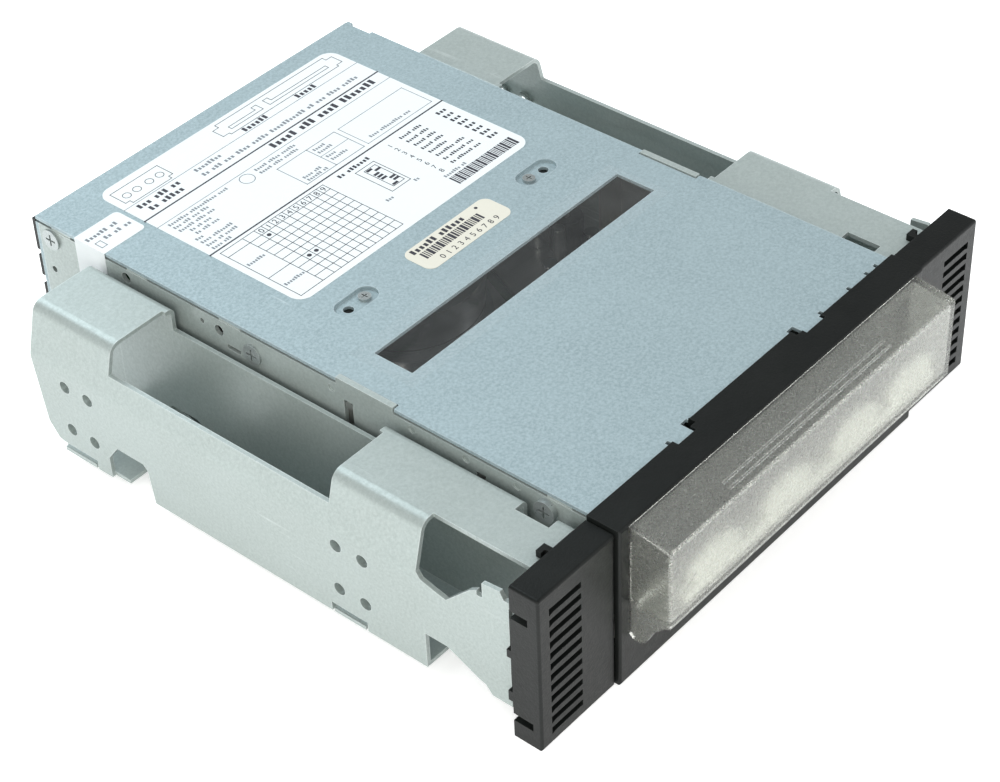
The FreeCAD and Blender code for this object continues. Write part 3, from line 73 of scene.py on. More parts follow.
def newGroup(name, inputs, outputs):
    tree = bpy.data.node_groups.new(name, "ShaderNodeTree")
    for label, kind, value in inputs:
        socket = tree.interface.new_socket(name=label, in_out="INPUT", socket_type="NodeSocket" + kind)
        socket.default_value = value
    for label, kind in outputs:
        tree.interface.new_socket(name=label, in_out="OUTPUT", socket_type="NodeSocket" + kind)
    return tree, tree.nodes.new("NodeGroupInput"), tree.nodes.new("NodeGroupOutput")


def placeGroup(tree, group, **values):
    node = tree.nodes.new("ShaderNodeGroup")
    node.node_tree = group
    for key, value in values.items():
        node.inputs[key].default_value = value
    return node


# Fine grain: a value round 0.5 for colour and a height for bump
def makeGrainGroup():
    tree, source, result = newGroup("fineGrain", [("Scale", "Float", 2500.0), ("Stretch", "Vector", (1, 1, 1))],
                                    [("Value", "Float"), ("Height", "Float")])
    place = addNode(tree, "ShaderNodeTexCoord")
    mapping = addNode(tree, "ShaderNodeMapping")
    noise = addNode(tree, "ShaderNodeTexNoise", {"Detail": 3.0, "Roughness": 0.6})
    coarse = addNode(tree, "ShaderNodeTexNoise", {"Detail": 2.0, "Roughness": 0.5})
    third = addNode(tree, "ShaderNodeMath", {1: 0.33}, operation="MULTIPLY")
    blend = addNode(tree, "ShaderNodeMath", operation="ADD")
    half = addNode(tree, "ShaderNodeMath", {1: 0.5}, operation="MULTIPLY")
    link(tree, place.outputs["Object"], mapping.inputs["Vector"])
    link(tree, source.outputs["Stretch"], mapping.inputs["Scale"])
    link(tree, mapping.outputs["Vector"], noise.inputs["Vector"])
    link(tree, mapping.outputs["Vector"], coarse.inputs["Vector"])
    link(tree, source.outputs["Scale"], noise.inputs["Scale"])
    link(tree, source.outputs["Scale"], third.inputs[0])
    link(tree, third.outputs[0], coarse.inputs["Scale"])
    link(tree, noise.outputs["Fac"], blend.inputs[0])
    link(tree, coarse.outputs["Fac"], blend.inputs[1])
    link(tree, blend.outputs[0], half.inputs[0])
    link(tree, half.outputs[0], result.inputs["Value"])
    link(tree, noise.outputs["Fac"], result.inputs["Height"])
    return tree


# Slow patches of tone, as handling and plating leave on a sheet
def makePatchGroup():
    tree, source, result = newGroup("slowPatches", [("Scale", "Float", 45.0)], [("Value", "Float")])
    place = addNode(tree, "ShaderNodeTexCoord")
    noise = addNode(tree, "ShaderNodeTexNoise", {"Detail": 4.0, "Roughness": 0.55, "Distortion": 0.6})
    link(tree, place.outputs["Object"], noise.inputs["Vector"])
    link(tree, source.outputs["Scale"], noise.inputs["Scale"])
    link(tree, noise.outputs["Fac"], result.inputs["Value"])
    return tree


# Hairline scratches: stretched noise cut to thin lines, broken up by slow patches
def makeScratchGroup():
    tree, source, result = newGroup("hairScratches", [("Scale", "Float", 900.0), ("Turn", "Vector", (0, 0, 0.5)),
                                                      ("Amount", "Float", 0.5)], [("Mask", "Float")])
    place = addNode(tree, "ShaderNodeTexCoord")
    turn = addNode(tree, "ShaderNodeMapping", {"Scale": (1.0, 0.025, 1.0)})
    lines = addNode(tree, "ShaderNodeTexNoise", {"Detail": 2.0, "Roughness": 0.7, "Distortion": 0.15})
    thin = addNode(tree, "ShaderNodeMapRange", {"From Min": 0.66, "From Max": 0.74})
    gaps = addNode(tree, "ShaderNodeTexNoise", {"Scale": 70.0, "Detail": 3.0})
    keep = addNode(tree, "ShaderNodeMapRange", {"From Min": 0.52, "From Max": 0.66})
    both = addNode(tree, "ShaderNodeMath", operation="MULTIPLY")
    level = addNode(tree, "ShaderNodeMath", operation="MULTIPLY")
    link(tree, place.outputs["Object"], turn.inputs["Vector"])
    link(tree, source.outputs["Turn"], turn.inputs["Rotation"])
    link(tree, turn.outputs["Vector"], lines.inputs["Vector"])
    link(tree, source.outputs["Scale"], lines.inputs["Scale"])
    link(tree, lines.outputs["Fac"], thin.inputs["Value"])
    link(tree, place.outputs["Object"], gaps.inputs["Vector"])
    link(tree, gaps.outputs["Fac"], keep.inputs["Value"])
    link(tree, thin.outputs[0], both.inputs[0])
    link(tree, keep.outputs[0], both.inputs[1])
    link(tree, both.outputs[0], level.inputs[0])
    link(tree, source.outputs["Amount"], level.inputs[1])
    link(tree, level.outputs[0], result.inputs["Mask"])
    return tree


# Worn edges: where a rounded normal leaves the true one
def makeEdgeGroup():
    tree, source, result = newGroup("wornEdges", [("Width", "Float", 0.0004), ("Amount", "Float", 1.0)],
                                    [("Mask", "Float")])
    soft = addNode(tree, "ShaderNodeBevel", samples=4)
    true = addNode(tree, "ShaderNodeNewGeometry")
    match = addNode(tree, "ShaderNodeVectorMath", operation="DOT_PRODUCT")
    ramp = addNode(tree, "ShaderNodeMapRange", {"From Min": 0.985, "From Max": 0.80})
    level = addNode(tree, "ShaderNodeMath", operation="MULTIPLY", use_clamp=True)
    link(tree, source.outputs["Width"], soft.inputs["Radius"])
    link(tree, soft.outputs["Normal"], match.inputs[0])
    link(tree, true.outputs["Normal"], match.inputs[1])
    link(tree, match.outputs["Value"], ramp.inputs["Value"])
    link(tree, ramp.outputs[0], level.inputs[0])
    link(tree, source.outputs["Amount"], level.inputs[1])
    link(tree, level.outputs[0], result.inputs["Mask"])
    return tree


grainGroup = makeGrainGroup()
patchGroup = makePatchGroup()
scratchGroup = makeScratchGroup()
edgeGroup = makeEdgeGroup()
print("node groups ready")


def newMaterial(name):
    material = bpy.data.materials.new(name)
    material.use_nodes = True
    tree = material.node_tree
    return material, tree, tree.nodes["Principled BSDF"]


def tint(tree, base, other, mask):
    mix = addNode(tree, "ShaderNodeMix", data_type="RGBA", blend_type="MIX")
    if isinstance(base, tuple):
        mix.inputs[6].default_value = (*base, 1.0)
    else:
        link(tree, base, mix.inputs[6])
    mix.inputs[7].default_value = (*other, 1.0)
    link(tree, mask, mix.inputs[0])
    return mix.outputs[2]


def spread(tree, value, low, high, reach=0.2):
    ranged = addNode(tree, "ShaderNodeMapRange", {"From Min": 0.5 - reach, "From Max": 0.5 + reach,
                                                  "To Min": low, "To Max": high})
    link(tree, value, ranged.inputs["Value"])
    return ranged.outputs[0]


# Colour, grain, patches, scratches and worn edges for one finish, from its settings below
def surface(name, look):
    material, tree, shader = newMaterial(name)
    grain = placeGroup(tree, grainGroup, Scale=look["grain"], Stretch=look.get("stretch", (1, 1, 1)))
    patches = placeGroup(tree, patchGroup)
    tone = spread(tree, grain.outputs["Value"], 0.0, look["grainTone"], look.get("grainReach", 0.2))
    colour = tint(tree, look["colour"], look["dark"], tone)
    colour = tint(tree, colour, look["patchColour"], spread(tree, patches.outputs["Value"], 0.0, look["patchTone"]))
    if look.get("scratches"):
        scratches = placeGroup(tree, scratchGroup, Amount=look["scratches"])
        colour = tint(tree, colour, look["edge"], scratches.outputs["Mask"])
    if look.get("edgeTone"):
        edges = placeGroup(tree, edgeGroup, Width=look.get("edgeWidth", 0.0004), Amount=look["edgeTone"])
        colour = tint(tree, colour, look["edge"], edges.outputs["Mask"])
    link(tree, colour, shader.inputs["Base Color"])
    low, high = look["rough"]
    link(tree, spread(tree, grain.outputs["Value"], low, high), shader.inputs["Roughness"])
    bump = addNode(tree, "ShaderNodeBump", {"Strength": look["bump"], "Distance": look.get("depth", 0.00008)})
    link(tree, grain.outputs["Height"], bump.inputs["Height"])
    link(tree, bump.outputs["Normal"], shader.inputs["Normal"])
    for key, value in look.get("shader", {}).items():
        shader.inputs[key].default_value = value
    return material


finishes = {
    "coverSteel": {"colour": (0.40, 0.50, 0.535), "dark": (0.26, 0.34, 0.365), "edge": (0.66, 0.74, 0.76),
                   "patchColour": (0.43, 0.54, 0.57), "grain": 4400.0, "grainTone": 0.85, "grainReach": 0.12,
                   "patchTone": 0.2, "scratches": 0.35, "edgeTone": 0.5, "rough": (0.42, 0.56), "bump": 0.25,
                   "shader": {"Metallic": 0.35}},
    "bracketSteel": {"colour": (0.43, 0.49, 0.475), "dark": (0.31, 0.36, 0.35), "edge": (0.72, 0.78, 0.77),
                     "patchColour": (0.50, 0.58, 0.58), "grain": 4400.0, "grainTone": 0.75, "grainReach": 0.13,
                     "patchTone": 0.2, "scratches": 0.4, "edgeTone": 0.6, "rough": (0.28, 0.42), "bump": 0.18,
                     "shader": {"Metallic": 0.3}},
    "springSteel": {"colour": (0.50, 0.50, 0.48), "dark": (0.36, 0.36, 0.35), "edge": (0.8, 0.8, 0.78),
                    "patchColour": (0.56, 0.56, 0.54), "grain": 1500.0, "stretch": (1, 0.1, 1), "grainTone": 0.5,
                    "patchTone": 0.3, "scratches": 0.3, "edgeTone": 0.5, "rough": (0.25, 0.4), "bump": 0.1,
                    "shader": {"Metallic": 0.9}},
    "blackPlastic": {"colour": (0.007, 0.0085, 0.008), "dark": (0.005, 0.006, 0.006), "edge": (0.04, 0.044, 0.042),
                     "patchColour": (0.015, 0.017, 0.016), "grain": 1900.0, "grainTone": 0.6, "patchTone": 0.5,
                     "edgeTone": 0.4, "rough": (0.3, 0.44), "bump": 0.5, "depth": 0.0001,
                     "shader": {"Specular IOR Level": 0.22}},
    "circuitBoard": {"colour": (0.02, 0.14, 0.05), "dark": (0.01, 0.07, 0.03), "edge": (0.3, 0.4, 0.22),
                     "patchColour": (0.03, 0.18, 0.07), "grain": 500.0, "stretch": (1, 0.2, 1), "grainTone": 0.9,
                     "patchTone": 0.4, "edgeTone": 0.3, "rough": (0.25, 0.4), "bump": 0.1},
    "chipBlack": {"colour": (0.02, 0.02, 0.022), "dark": (0.01, 0.01, 0.01), "edge": (0.12, 0.12, 0.12),
                  "patchColour": (0.03, 0.03, 0.032), "grain": 3000.0, "grainTone": 0.5, "patchTone": 0.4,
                  "edgeTone": 0.4, "rough": (0.45, 0.6), "bump": 0.3},
    "brassPlating": {"colour": (0.72, 0.52, 0.18), "dark": (0.52, 0.35, 0.1), "edge": (0.9, 0.75, 0.4),
                     "patchColour": (0.66, 0.46, 0.17), "grain": 2400.0, "stretch": (1, 1, 0.1), "grainTone": 0.4,
                     "patchTone": 0.4, "edgeTone": 0.5, "rough": (0.2, 0.34), "bump": 0.08,
                     "shader": {"Metallic": 1.0}},
    "connectorWhite": {"colour": (0.74, 0.72, 0.64), "dark": (0.62, 0.6, 0.52), "edge": (0.86, 0.85, 0.8),
                       "patchColour": (0.7, 0.67, 0.58), "grain": 1600.0, "grainTone": 0.4, "patchTone": 0.4,
                       "edgeTone": 0.3, "rough": (0.35, 0.5), "bump": 0.15,
                       "shader": {"Subsurface Weight": 0.1, "Subsurface Scale": 0.001}},
    "connectorBlack": {"colour": (0.018, 0.018, 0.019), "dark": (0.008, 0.008, 0.008), "edge": (0.1, 0.1, 0.1),
                       "patchColour": (0.026, 0.026, 0.027), "grain": 1900.0, "grainTone": 0.5, "patchTone": 0.4,
                       "edgeTone": 0.4, "rough": (0.38, 0.55), "bump": 0.25},
    "switchBlue": {"colour": (0.03, 0.09, 0.33), "dark": (0.02, 0.05, 0.2), "edge": (0.2, 0.3, 0.55),
                   "patchColour": (0.04, 0.12, 0.38), "grain": 2000.0, "grainTone": 0.4, "patchTone": 0.4,
                   "edgeTone": 0.4, "rough": (0.35, 0.5), "bump": 0.15},
    "switchWhite": {"colour": (0.8, 0.8, 0.77), "dark": (0.68, 0.68, 0.64), "edge": (0.9, 0.9, 0.88),
                    "patchColour": (0.76, 0.75, 0.71), "grain": 2000.0, "grainTone": 0.4, "patchTone": 0.4,
                    "edgeTone": 0.3, "rough": (0.35, 0.5), "bump": 0.15},
    "deckSteel": {"colour": (0.46, 0.47, 0.47), "dark": (0.33, 0.34, 0.34), "edge": (0.75, 0.76, 0.76),
                  "patchColour": (0.52, 0.53, 0.52), "grain": 1400.0, "stretch": (0.08, 1, 1), "grainTone": 0.5,
                  "patchTone": 0.4, "scratches": 0.3, "edgeTone": 0.5, "rough": (0.28, 0.42), "bump": 0.12,
                  "shader": {"Metallic": 0.85}},
    "polishedSteel": {"colour": (0.66, 0.67, 0.68), "dark": (0.5, 0.51, 0.52), "edge": (0.85, 0.86, 0.87),
                      "patchColour": (0.6, 0.61, 0.62), "grain": 2200.0, "stretch": (1, 1, 0.1), "grainTone": 0.3,
                      "patchTone": 0.3, "edgeTone": 0.4, "rough": (0.1, 0.2), "bump": 0.05,
                      "shader": {"Metallic": 1.0}},
    "drumAluminium": {"colour": (0.68, 0.69, 0.7), "dark": (0.5, 0.51, 0.52), "edge": (0.88, 0.89, 0.9),
                      "patchColour": (0.62, 0.63, 0.64), "grain": 2400.0, "stretch": (0.1, 0.1, 1),
                      "grainTone": 0.4, "patchTone": 0.3, "edgeTone": 0.4, "rough": (0.16, 0.28), "bump": 0.08,
                      "shader": {"Metallic": 1.0}},
    "reelPlastic": {"colour": (0.62, 0.61, 0.56), "dark": (0.5, 0.49, 0.45), "edge": (0.8, 0.8, 0.76),
                    "patchColour": (0.58, 0.57, 0.52), "grain": 1800.0, "grainTone": 0.4, "patchTone": 0.4,
                    "edgeTone": 0.3, "rough": (0.3, 0.45), "bump": 0.12},
    "rollerRubber": {"colour": (0.02, 0.02, 0.02), "dark": (0.008, 0.008, 0.008), "edge": (0.07, 0.07, 0.07),
                     "patchColour": (0.035, 0.033, 0.03), "grain": 2600.0, "grainTone": 0.6, "patchTone": 0.5,
                     "edgeTone": 0.3, "rough": (0.6, 0.8), "bump": 0.35},
    "gearNylon": {"colour": (0.72, 0.69, 0.58), "dark": (0.6, 0.57, 0.46), "edge": (0.86, 0.84, 0.75),
                  "patchColour": (0.68, 0.64, 0.52), "grain": 1800.0, "grainTone": 0.4, "patchTone": 0.4,
                  "edgeTone": 0.3, "rough": (0.3, 0.45), "bump": 0.12,
                  "shader": {"Subsurface Weight": 0.1, "Subsurface Scale": 0.001}},
    "motorSteel": {"colour": (0.5, 0.51, 0.52), "dark": (0.36, 0.37, 0.38), "edge": (0.78, 0.79, 0.8),
                   "patchColour": (0.56, 0.57, 0.58), "grain": 1600.0, "stretch": (1, 1, 0.1), "grainTone": 0.4,
                   "patchTone": 0.3, "scratches": 0.2, "edgeTone": 0.4, "rough": (0.2, 0.35), "bump": 0.1,
                   "shader": {"Metallic": 0.95}},
    "labelPaper": {"colour": (0.74, 0.79, 0.81), "dark": (0.68, 0.73, 0.75), "edge": (0.93, 0.95, 0.95),
                   "patchColour": (0.76, 0.80, 0.82), "grain": 1500.0, "grainTone": 0.4, "patchTone": 0.5,
                   "edgeTone": 0.2, "rough": (0.34, 0.48), "bump": 0.06},
    "beigePaper": {"colour": (0.66, 0.65, 0.57), "dark": (0.6, 0.585, 0.5), "edge": (0.9, 0.88, 0.8),
                   "patchColour": (0.69, 0.675, 0.59), "grain": 1500.0, "grainTone": 0.4, "patchTone": 0.5,
                   "edgeTone": 0.2, "rough": (0.36, 0.5), "bump": 0.08},
    "labelInk": {"colour": (0.03, 0.03, 0.045), "dark": (0.015, 0.015, 0.02),
                 "patchColour": (0.06, 0.06, 0.08), "grain": 4000.0, "grainTone": 0.6, "patchTone": 0.4,
                 "rough": (0.4, 0.55), "bump": 0.03},
    "greyInk": {"colour": (0.20, 0.22, 0.25), "dark": (0.13, 0.15, 0.17),
                "patchColour": (0.28, 0.30, 0.33), "grain": 4000.0, "grainTone": 0.8, "patchTone": 0.4,
                "rough": (0.4, 0.55), "bump": 0.03},
    "softWhite": {"colour": (0.94, 0.95, 0.91), "dark": (0.88, 0.89, 0.85), "edge": (0.92, 0.93, 0.9),
                  "patchColour": (0.83, 0.84, 0.79), "grain": 1200.0, "grainTone": 0.4, "patchTone": 0.4,
                  "edgeTone": 0.2, "rough": (0.5, 0.65), "bump": 0.2},
    "screwSteel": {"colour": (0.46, 0.5, 0.5), "dark": (0.3, 0.33, 0.33), "edge": (0.75, 0.79, 0.79),
                   "patchColour": (0.42, 0.46, 0.46), "grain": 3200.0, "grainTone": 0.5, "patchTone": 0.3,
                   "edgeTone": 0.6, "edgeWidth": 0.00025, "rough": (0.24, 0.38), "bump": 0.1,
                   "shader": {"Metallic": 0.7}},
}
looks = {name: surface(name, look) for name, look in finishes.items()}


frostSettings = {"colour": (0.985, 0.99, 0.95), "shade": (0.80, 0.83, 0.77), "veil": (1.0, 1.0, 0.98),
                 "transmission": 0.93, "rough": (0.2, 0.34), "ior": 1.4, "grain": 5200.0, "grainTone": 0.8,
                 "bump": 0.22, "depth": 0.0001, "edgeWidth": 0.0006, "edgeTone": 1.0}


# Frosted clear plastic, milky along its edges
def makeFrost(s):
    material, tree, shader = newMaterial("frostedPlastic")
    grain = placeGroup(tree, grainGroup, Scale=s["grain"])
    edges = placeGroup(tree, edgeGroup, Width=s["edgeWidth"], Amount=s["edgeTone"])
    colour = tint(tree, s["colour"], s["shade"], spread(tree, grain.outputs["Value"], 0.0, s["grainTone"]))
    colour = tint(tree, colour, s["veil"], edges.outputs["Mask"])
    link(tree, colour, shader.inputs["Base Color"])
    link(tree, spread(tree, grain.outputs["Value"], *s["rough"]), shader.inputs["Roughness"])
    bump = addNode(tree, "ShaderNodeBump", {"Strength": s["bump"], "Distance": s["depth"]})
    link(tree, grain.outputs["Height"], bump.inputs["Height"])
    link(tree, bump.outputs["Normal"], shader.inputs["Normal"])
    shader.inputs["Transmission Weight"].default_value = s["transmission"]
    shader.inputs["IOR"].default_value = s["ior"]
    return material


acrylicSettings = {"colour": (0.88, 0.93, 0.9), "shade": 0.85, "patches": 120.0, "patchTone": 0.6,
                   "rough": (0.08, 0.16), "transmission": 0.9, "ior": 1.49}


# Clear acrylic of the light guides
def makeAcrylic(s):
    material, tree, shader = newMaterial("clearAcrylic")
    patches = placeGroup(tree, patchGroup, Scale=s["patches"])
    shade = tuple(channel * s["shade"] for channel in s["colour"])
    colour = tint(tree, s["colour"], shade, spread(tree, patches.outputs["Value"], 0, s["patchTone"]))
    link(tree, colour, shader.inputs["Base Color"])
    link(tree, spread(tree, patches.outputs["Value"], *s["rough"]), shader.inputs["Roughness"])
    shader.inputs["Transmission Weight"].default_value = s["transmission"]
    shader.inputs["IOR"].default_value = s["ior"]
    return material


filmSettings = {"colour": (0.72, 0.76, 0.77), "scratchColour": (0.9, 0.92, 0.92), "scratches": 0.6, "patches": 90.0,
                "haze": (0.02, 0.035), "rough": (0.12, 0.3)}


# Thin clear film: mostly open, with faint smears
def makeFilm(s):
    material, tree, shader = newMaterial("clearFilm")
    patches = placeGroup(tree, patchGroup, Scale=s["patches"])
    scratches = placeGroup(tree, scratchGroup, Amount=s["scratches"])
    colour = tint(tree, s["colour"], s["scratchColour"], scratches.outputs["Mask"])
    link(tree, colour, shader.inputs["Base Color"])
    link(tree, spread(tree, patches.outputs["Value"], *s["rough"]), shader.inputs["Roughness"])
    link(tree, spread(tree, patches.outputs["Value"], *s["haze"]), shader.inputs["Alpha"])
    return material


looks["frostedPlastic"] = makeFrost(frostSettings)
looks["clearAcrylic"] = makeAcrylic(acrylicSettings)
looks["clearFilm"] = makeFilm(filmSettings)
print("finishes ready:", len(looks))


nodeFinish = {
    "coverSteel": ["top_cover", "cross_brace", "rear_panel"],
    "bracketSteel": ["chassis", "bracket_left", "bracket_right"],
    "blackPlastic": ["centre_bezel", "bezel_extension_left", "bezel_extension_right", "rear_trim", "tape_door",
                     "eject_button"],
    "springSteel": ["bezel_clip", "door_spring", "door_pin", "lift_slider_left", "lift_slider_right",
                    "lift_cross_bar", "cassette_carrier"],
    "frostedPlastic": ["front_guard"],
    "connectorBlack": ["data_connector", "front_components"],
    "clearAcrylic": ["light_pipes"],
    "circuitBoard": ["front_board", "main_board", "rear_board"],
    "chipBlack": ["board_chips"],
    "brassPlating": ["board_spacers", "power_pins", "data_contacts"],
    "connectorWhite": ["power_connector"],
    "switchBlue": ["dip_switch_body"],
    "switchWhite": ["dip_lever_%d" % (index + 1) for index in range(8)],
    "deckSteel": ["deck_plate", "pinch_arm", "capstan"],
    "polishedSteel": ["guide_posts", "carriage_left", "carriage_right"],
    "drumAluminium": ["drum_base", "drum_rotor"],
    "reelPlastic": ["reel_table_left", "reel_table_right"],
    "rollerRubber": ["pinch_roller"],
    "gearNylon": ["cam_gear", "motor_pinion"],
    "motorSteel": ["loading_motor"],
    "labelPaper": ["main_label", "seal_label"],
    "beigePaper": ["small_label"],
    "clearFilm": ["window_film"],
    "screwSteel": ["pan_head_screws", "flat_head_screws"],
}
for finish, names in nodeFinish.items():
    for name in names:
        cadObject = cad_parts[name]
        cadObject.data.materials.clear()
        cadObject.data.materials.append(looks[finish])
print("CAD nodes dressed:", sum(len(names) for names in nodeFinish.values()))


mergeDistance = 0.001 * mm


# Turns a mesh's faces outwards, gives it its finish and sets it on its body
def finishPiece(name, mesh, finish, body):
    bm = bmesh.new()
    bm.from_mesh(mesh)
    bmesh.ops.recalc_face_normals(bm, faces=bm.faces)
    bm.to_mesh(mesh)
    bm.free()
    piece = bpy.data.objects.new(name, mesh)
    bpy.context.scene.collection.objects.link(piece)
    mesh.materials.clear()
    mesh.materials.append(looks[finish])
    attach(piece, body)
    return piece


def meshFrom(bm, name):
    mesh = bpy.data.meshes.new(name)
    bm.to_mesh(mesh)
    bm.free()
    return mesh


def addBlock(bm, x0, x1, y0, y1, z0, z1):
    place = Matrix.Translation(((x0 + x1) / 2, (y0 + y1) / 2, (z0 + z1) / 2))
    bmesh.ops.create_cube(bm, size=1.0, matrix=place @ Matrix.Diagonal((x1 - x0, y1 - y0, z1 - z0, 1.0)))


def addDisc(bm, x, y, z, radius, height, segments=20):
    bmesh.ops.create_cone(bm, cap_ends=True, segments=segments, radius1=radius, radius2=radius, depth=height,
                          matrix=Matrix.Translation((x, y, z + height / 2)))


def addRing(bm, x, y, z, radius, stroke, height, segments=24):
    rings = []
    for r in (radius, radius - stroke):
        made = bmesh.ops.create_circle(bm, segments=segments, radius=r, matrix=Matrix.Translation((x, y, z)))
        rings += list({edge for vert in made["verts"] for edge in vert.link_edges})
    band = bmesh.ops.bridge_loops(bm, edges=rings)["faces"]
    lifted = bmesh.ops.extrude_face_region(bm, geom=band)["geom"]
    bmesh.ops.translate(bm, verts=[v for v in lifted if isinstance(v, bmesh.types.BMVert)], vec=(0, 0, height))


def addNumber(bm, text, x, y, z, size, height):
    curve = bpy.data.curves.new("number", "FONT")
    curve.body = text
    curve.size = size
    curve.align_x = "CENTER"
    curve.extrude = height / 2
    holder = bpy.data.objects.new("number", curve)
    bpy.context.scene.collection.objects.link(holder)
    bpy.context.view_layer.update()
    mesh = bpy.data.meshes.new_from_object(holder.evaluated_get(bpy.context.evaluated_depsgraph_get()))
    mesh.transform(Matrix.Translation((x, y, z + height / 2)))
    bm.from_mesh(mesh)
    bpy.data.objects.remove(holder)
    bpy.data.curves.remove(curve)
    bpy.data.meshes.remove(mesh)


ink = {"height": 0.02 * mm, "fine": 0.17 * mm, "line": 0.2 * mm, "thick": 0.42 * mm, "markWidth": 0.62, "lowMark": 0.72,
       "stripeGap": 1.1}
typeSizes = {  # height of a mark, pitch between marks, gap between groups
    "small": (0.95 * mm, 0.74 * mm, 0.55 * mm),
    "plain": (1.25 * mm, 1.03 * mm, 0.85 * mm),
    "bold": (1.65 * mm, 1.32 * mm, 1.1 * mm),
    "head": (2.1 * mm, 1.62 * mm, 1.3 * mm),
}


# A label to print on: places are fractions across and down its top face
class printArea:
    def __init__(self, node):
        low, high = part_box(node)
        self.left, self.front = low.x, low.y
        self.right, self.rear, self.top = high
        self.bm = bmesh.new()

    def place(self, u, v):
        return self.left + (self.right - self.left) * u, self.rear - (self.rear - self.front) * v

    def block(self, x0, x1, y0, y1):
        addBlock(self.bm, x0, x1, y0, y1, self.top, self.top + ink["height"])

    def line(self, u0, v0, u1, v1, width):
        x0, y0 = self.place(min(u0, u1), max(v0, v1))
        x1, y1 = self.place(max(u0, u1), min(v0, v1))
        half = width / 2
        self.block(x0 - half, x1 + half, y0 - half, y1 + half)

    def path(self, points, width):
        for start, end in zip(points, points[1:]):
            self.line(*start, *end, width)

    def frame(self, u0, v0, u1, v1, width):
        self.path([(u0, v0), (u1, v0), (u1, v1), (u0, v1), (u0, v0)], width)

    # Rows of small upright marks stand for lines of words
    def marks(self, u, v, groups, size):
        height, pitch, gap = typeSizes[size]
        x, y = self.place(u, v)
        for group, count in enumerate(groups):
            for index in range(count):
                tall = height if (group + index * 2) % 5 in (0, 3) else height * ink["lowMark"]
                self.block(x, x + pitch * ink["markWidth"], y - height, y - height + tall)
                x += pitch
            x += gap

    def number(self, text, u, v, size):
        x, y = self.place(u, v)
        addNumber(self.bm, text, x, y, self.top, size, ink["height"])

    def ring(self, u, v, radius, width):
        x, y = self.place(u, v)
        addRing(self.bm, x, y, self.top, radius, width, ink["height"])

    def dot(self, u, v, radius):
        x, y = self.place(u, v)
        addDisc(self.bm, x, y, self.top, radius, ink["height"])

    def stripes(self, u0, u1, v0, v1, widths):
        gap = ink["stripeGap"]
        unit = (u1 - u0) / (sum(widths) + len(widths) * gap)
        for width in widths:
            x0, y0 = self.place(u0, v1)
            x1, y1 = self.place(u0 + unit * width, v0)
            self.block(x0, x1, y0, y1)
            u0 += unit * (width + gap)

    def finish(self, name, finishName):
        return finishPiece(name, meshFrom(self.bm, name), finishName, "drive")


mainPrint = {
    "dividers": (0.25, 0.571),
    "pinOutline": (0.027, 0.036, 0.218, 0.135), "pinCorner": 0.017,
    "pins": (0.057, 0.098, 0.148, 0.190), "pinRow": 0.0855, "pinRadius": 1.08 * mm,
    "plug": (0.449, 0.021, 0.976, 0.12), "plugEar": 0.025, "slotRows": (0.044, 0.066, 0.084),
    "slots": ((0.495, 0.612, 0.632), (0.925, 0.682, 0.662)),
    "grid": (0.024, 0.590, 0.449, 0.971), "gridFirst": 0.113, "gridSecond": 0.160, "gridRows": 10,
    "gridColumns": 10, "wideRows": (0, 1, 6, 10), "digit": 2.3 * mm, "digitDrop": 0.84,
    "dots": ((0, 1), (0, 6), (1, 6)), "dotRadius": 0.55 * mm,
    "switchBox": (0.551, 0.634, 0.631, 0.812), "switchInset": (0.022, 0.018), "switches": 8, "closed": (1, 5, 6),
    "leverPlaces": (0.004, 0.024), "leverWidth": 0.022, "leverHalf": 0.32,
    "listTop": 0.606, "listStep": 0.0352, "listNumber": (0.72, 0.0225), "listDigit": 2.0 * mm, "listNames": 0.768,
    "listRight": 0.935,
    "list": ((5, 4), (5, 4), (5, 4), (5, 4), (8,), (8, 4), (2, 7, 3), (2, 7, 3)),
    "headings": ((0.035, 0.158, (3, 3, 2), "bold"), (0.052, 0.197, (2, 5), "bold"), (0.5, 0.262, (5, 3, 4, 7), "head"),
                 (0.51, 0.112, (6,), "bold"), (0.742, 0.112, (5,), "bold"), (0.505, 0.594, (2, 7), "plain")),
    "stripes": (0.701, 0.977, 0.917, 0.971),
    "stripeWidths": (2, 1, 1, 3, 1, 2, 1, 1, 2, 3, 1, 1, 2, 1, 3, 1, 1, 2, 1, 2, 3, 1, 1, 1, 2, 1, 2, 3, 1, 1, 2, 3),
}


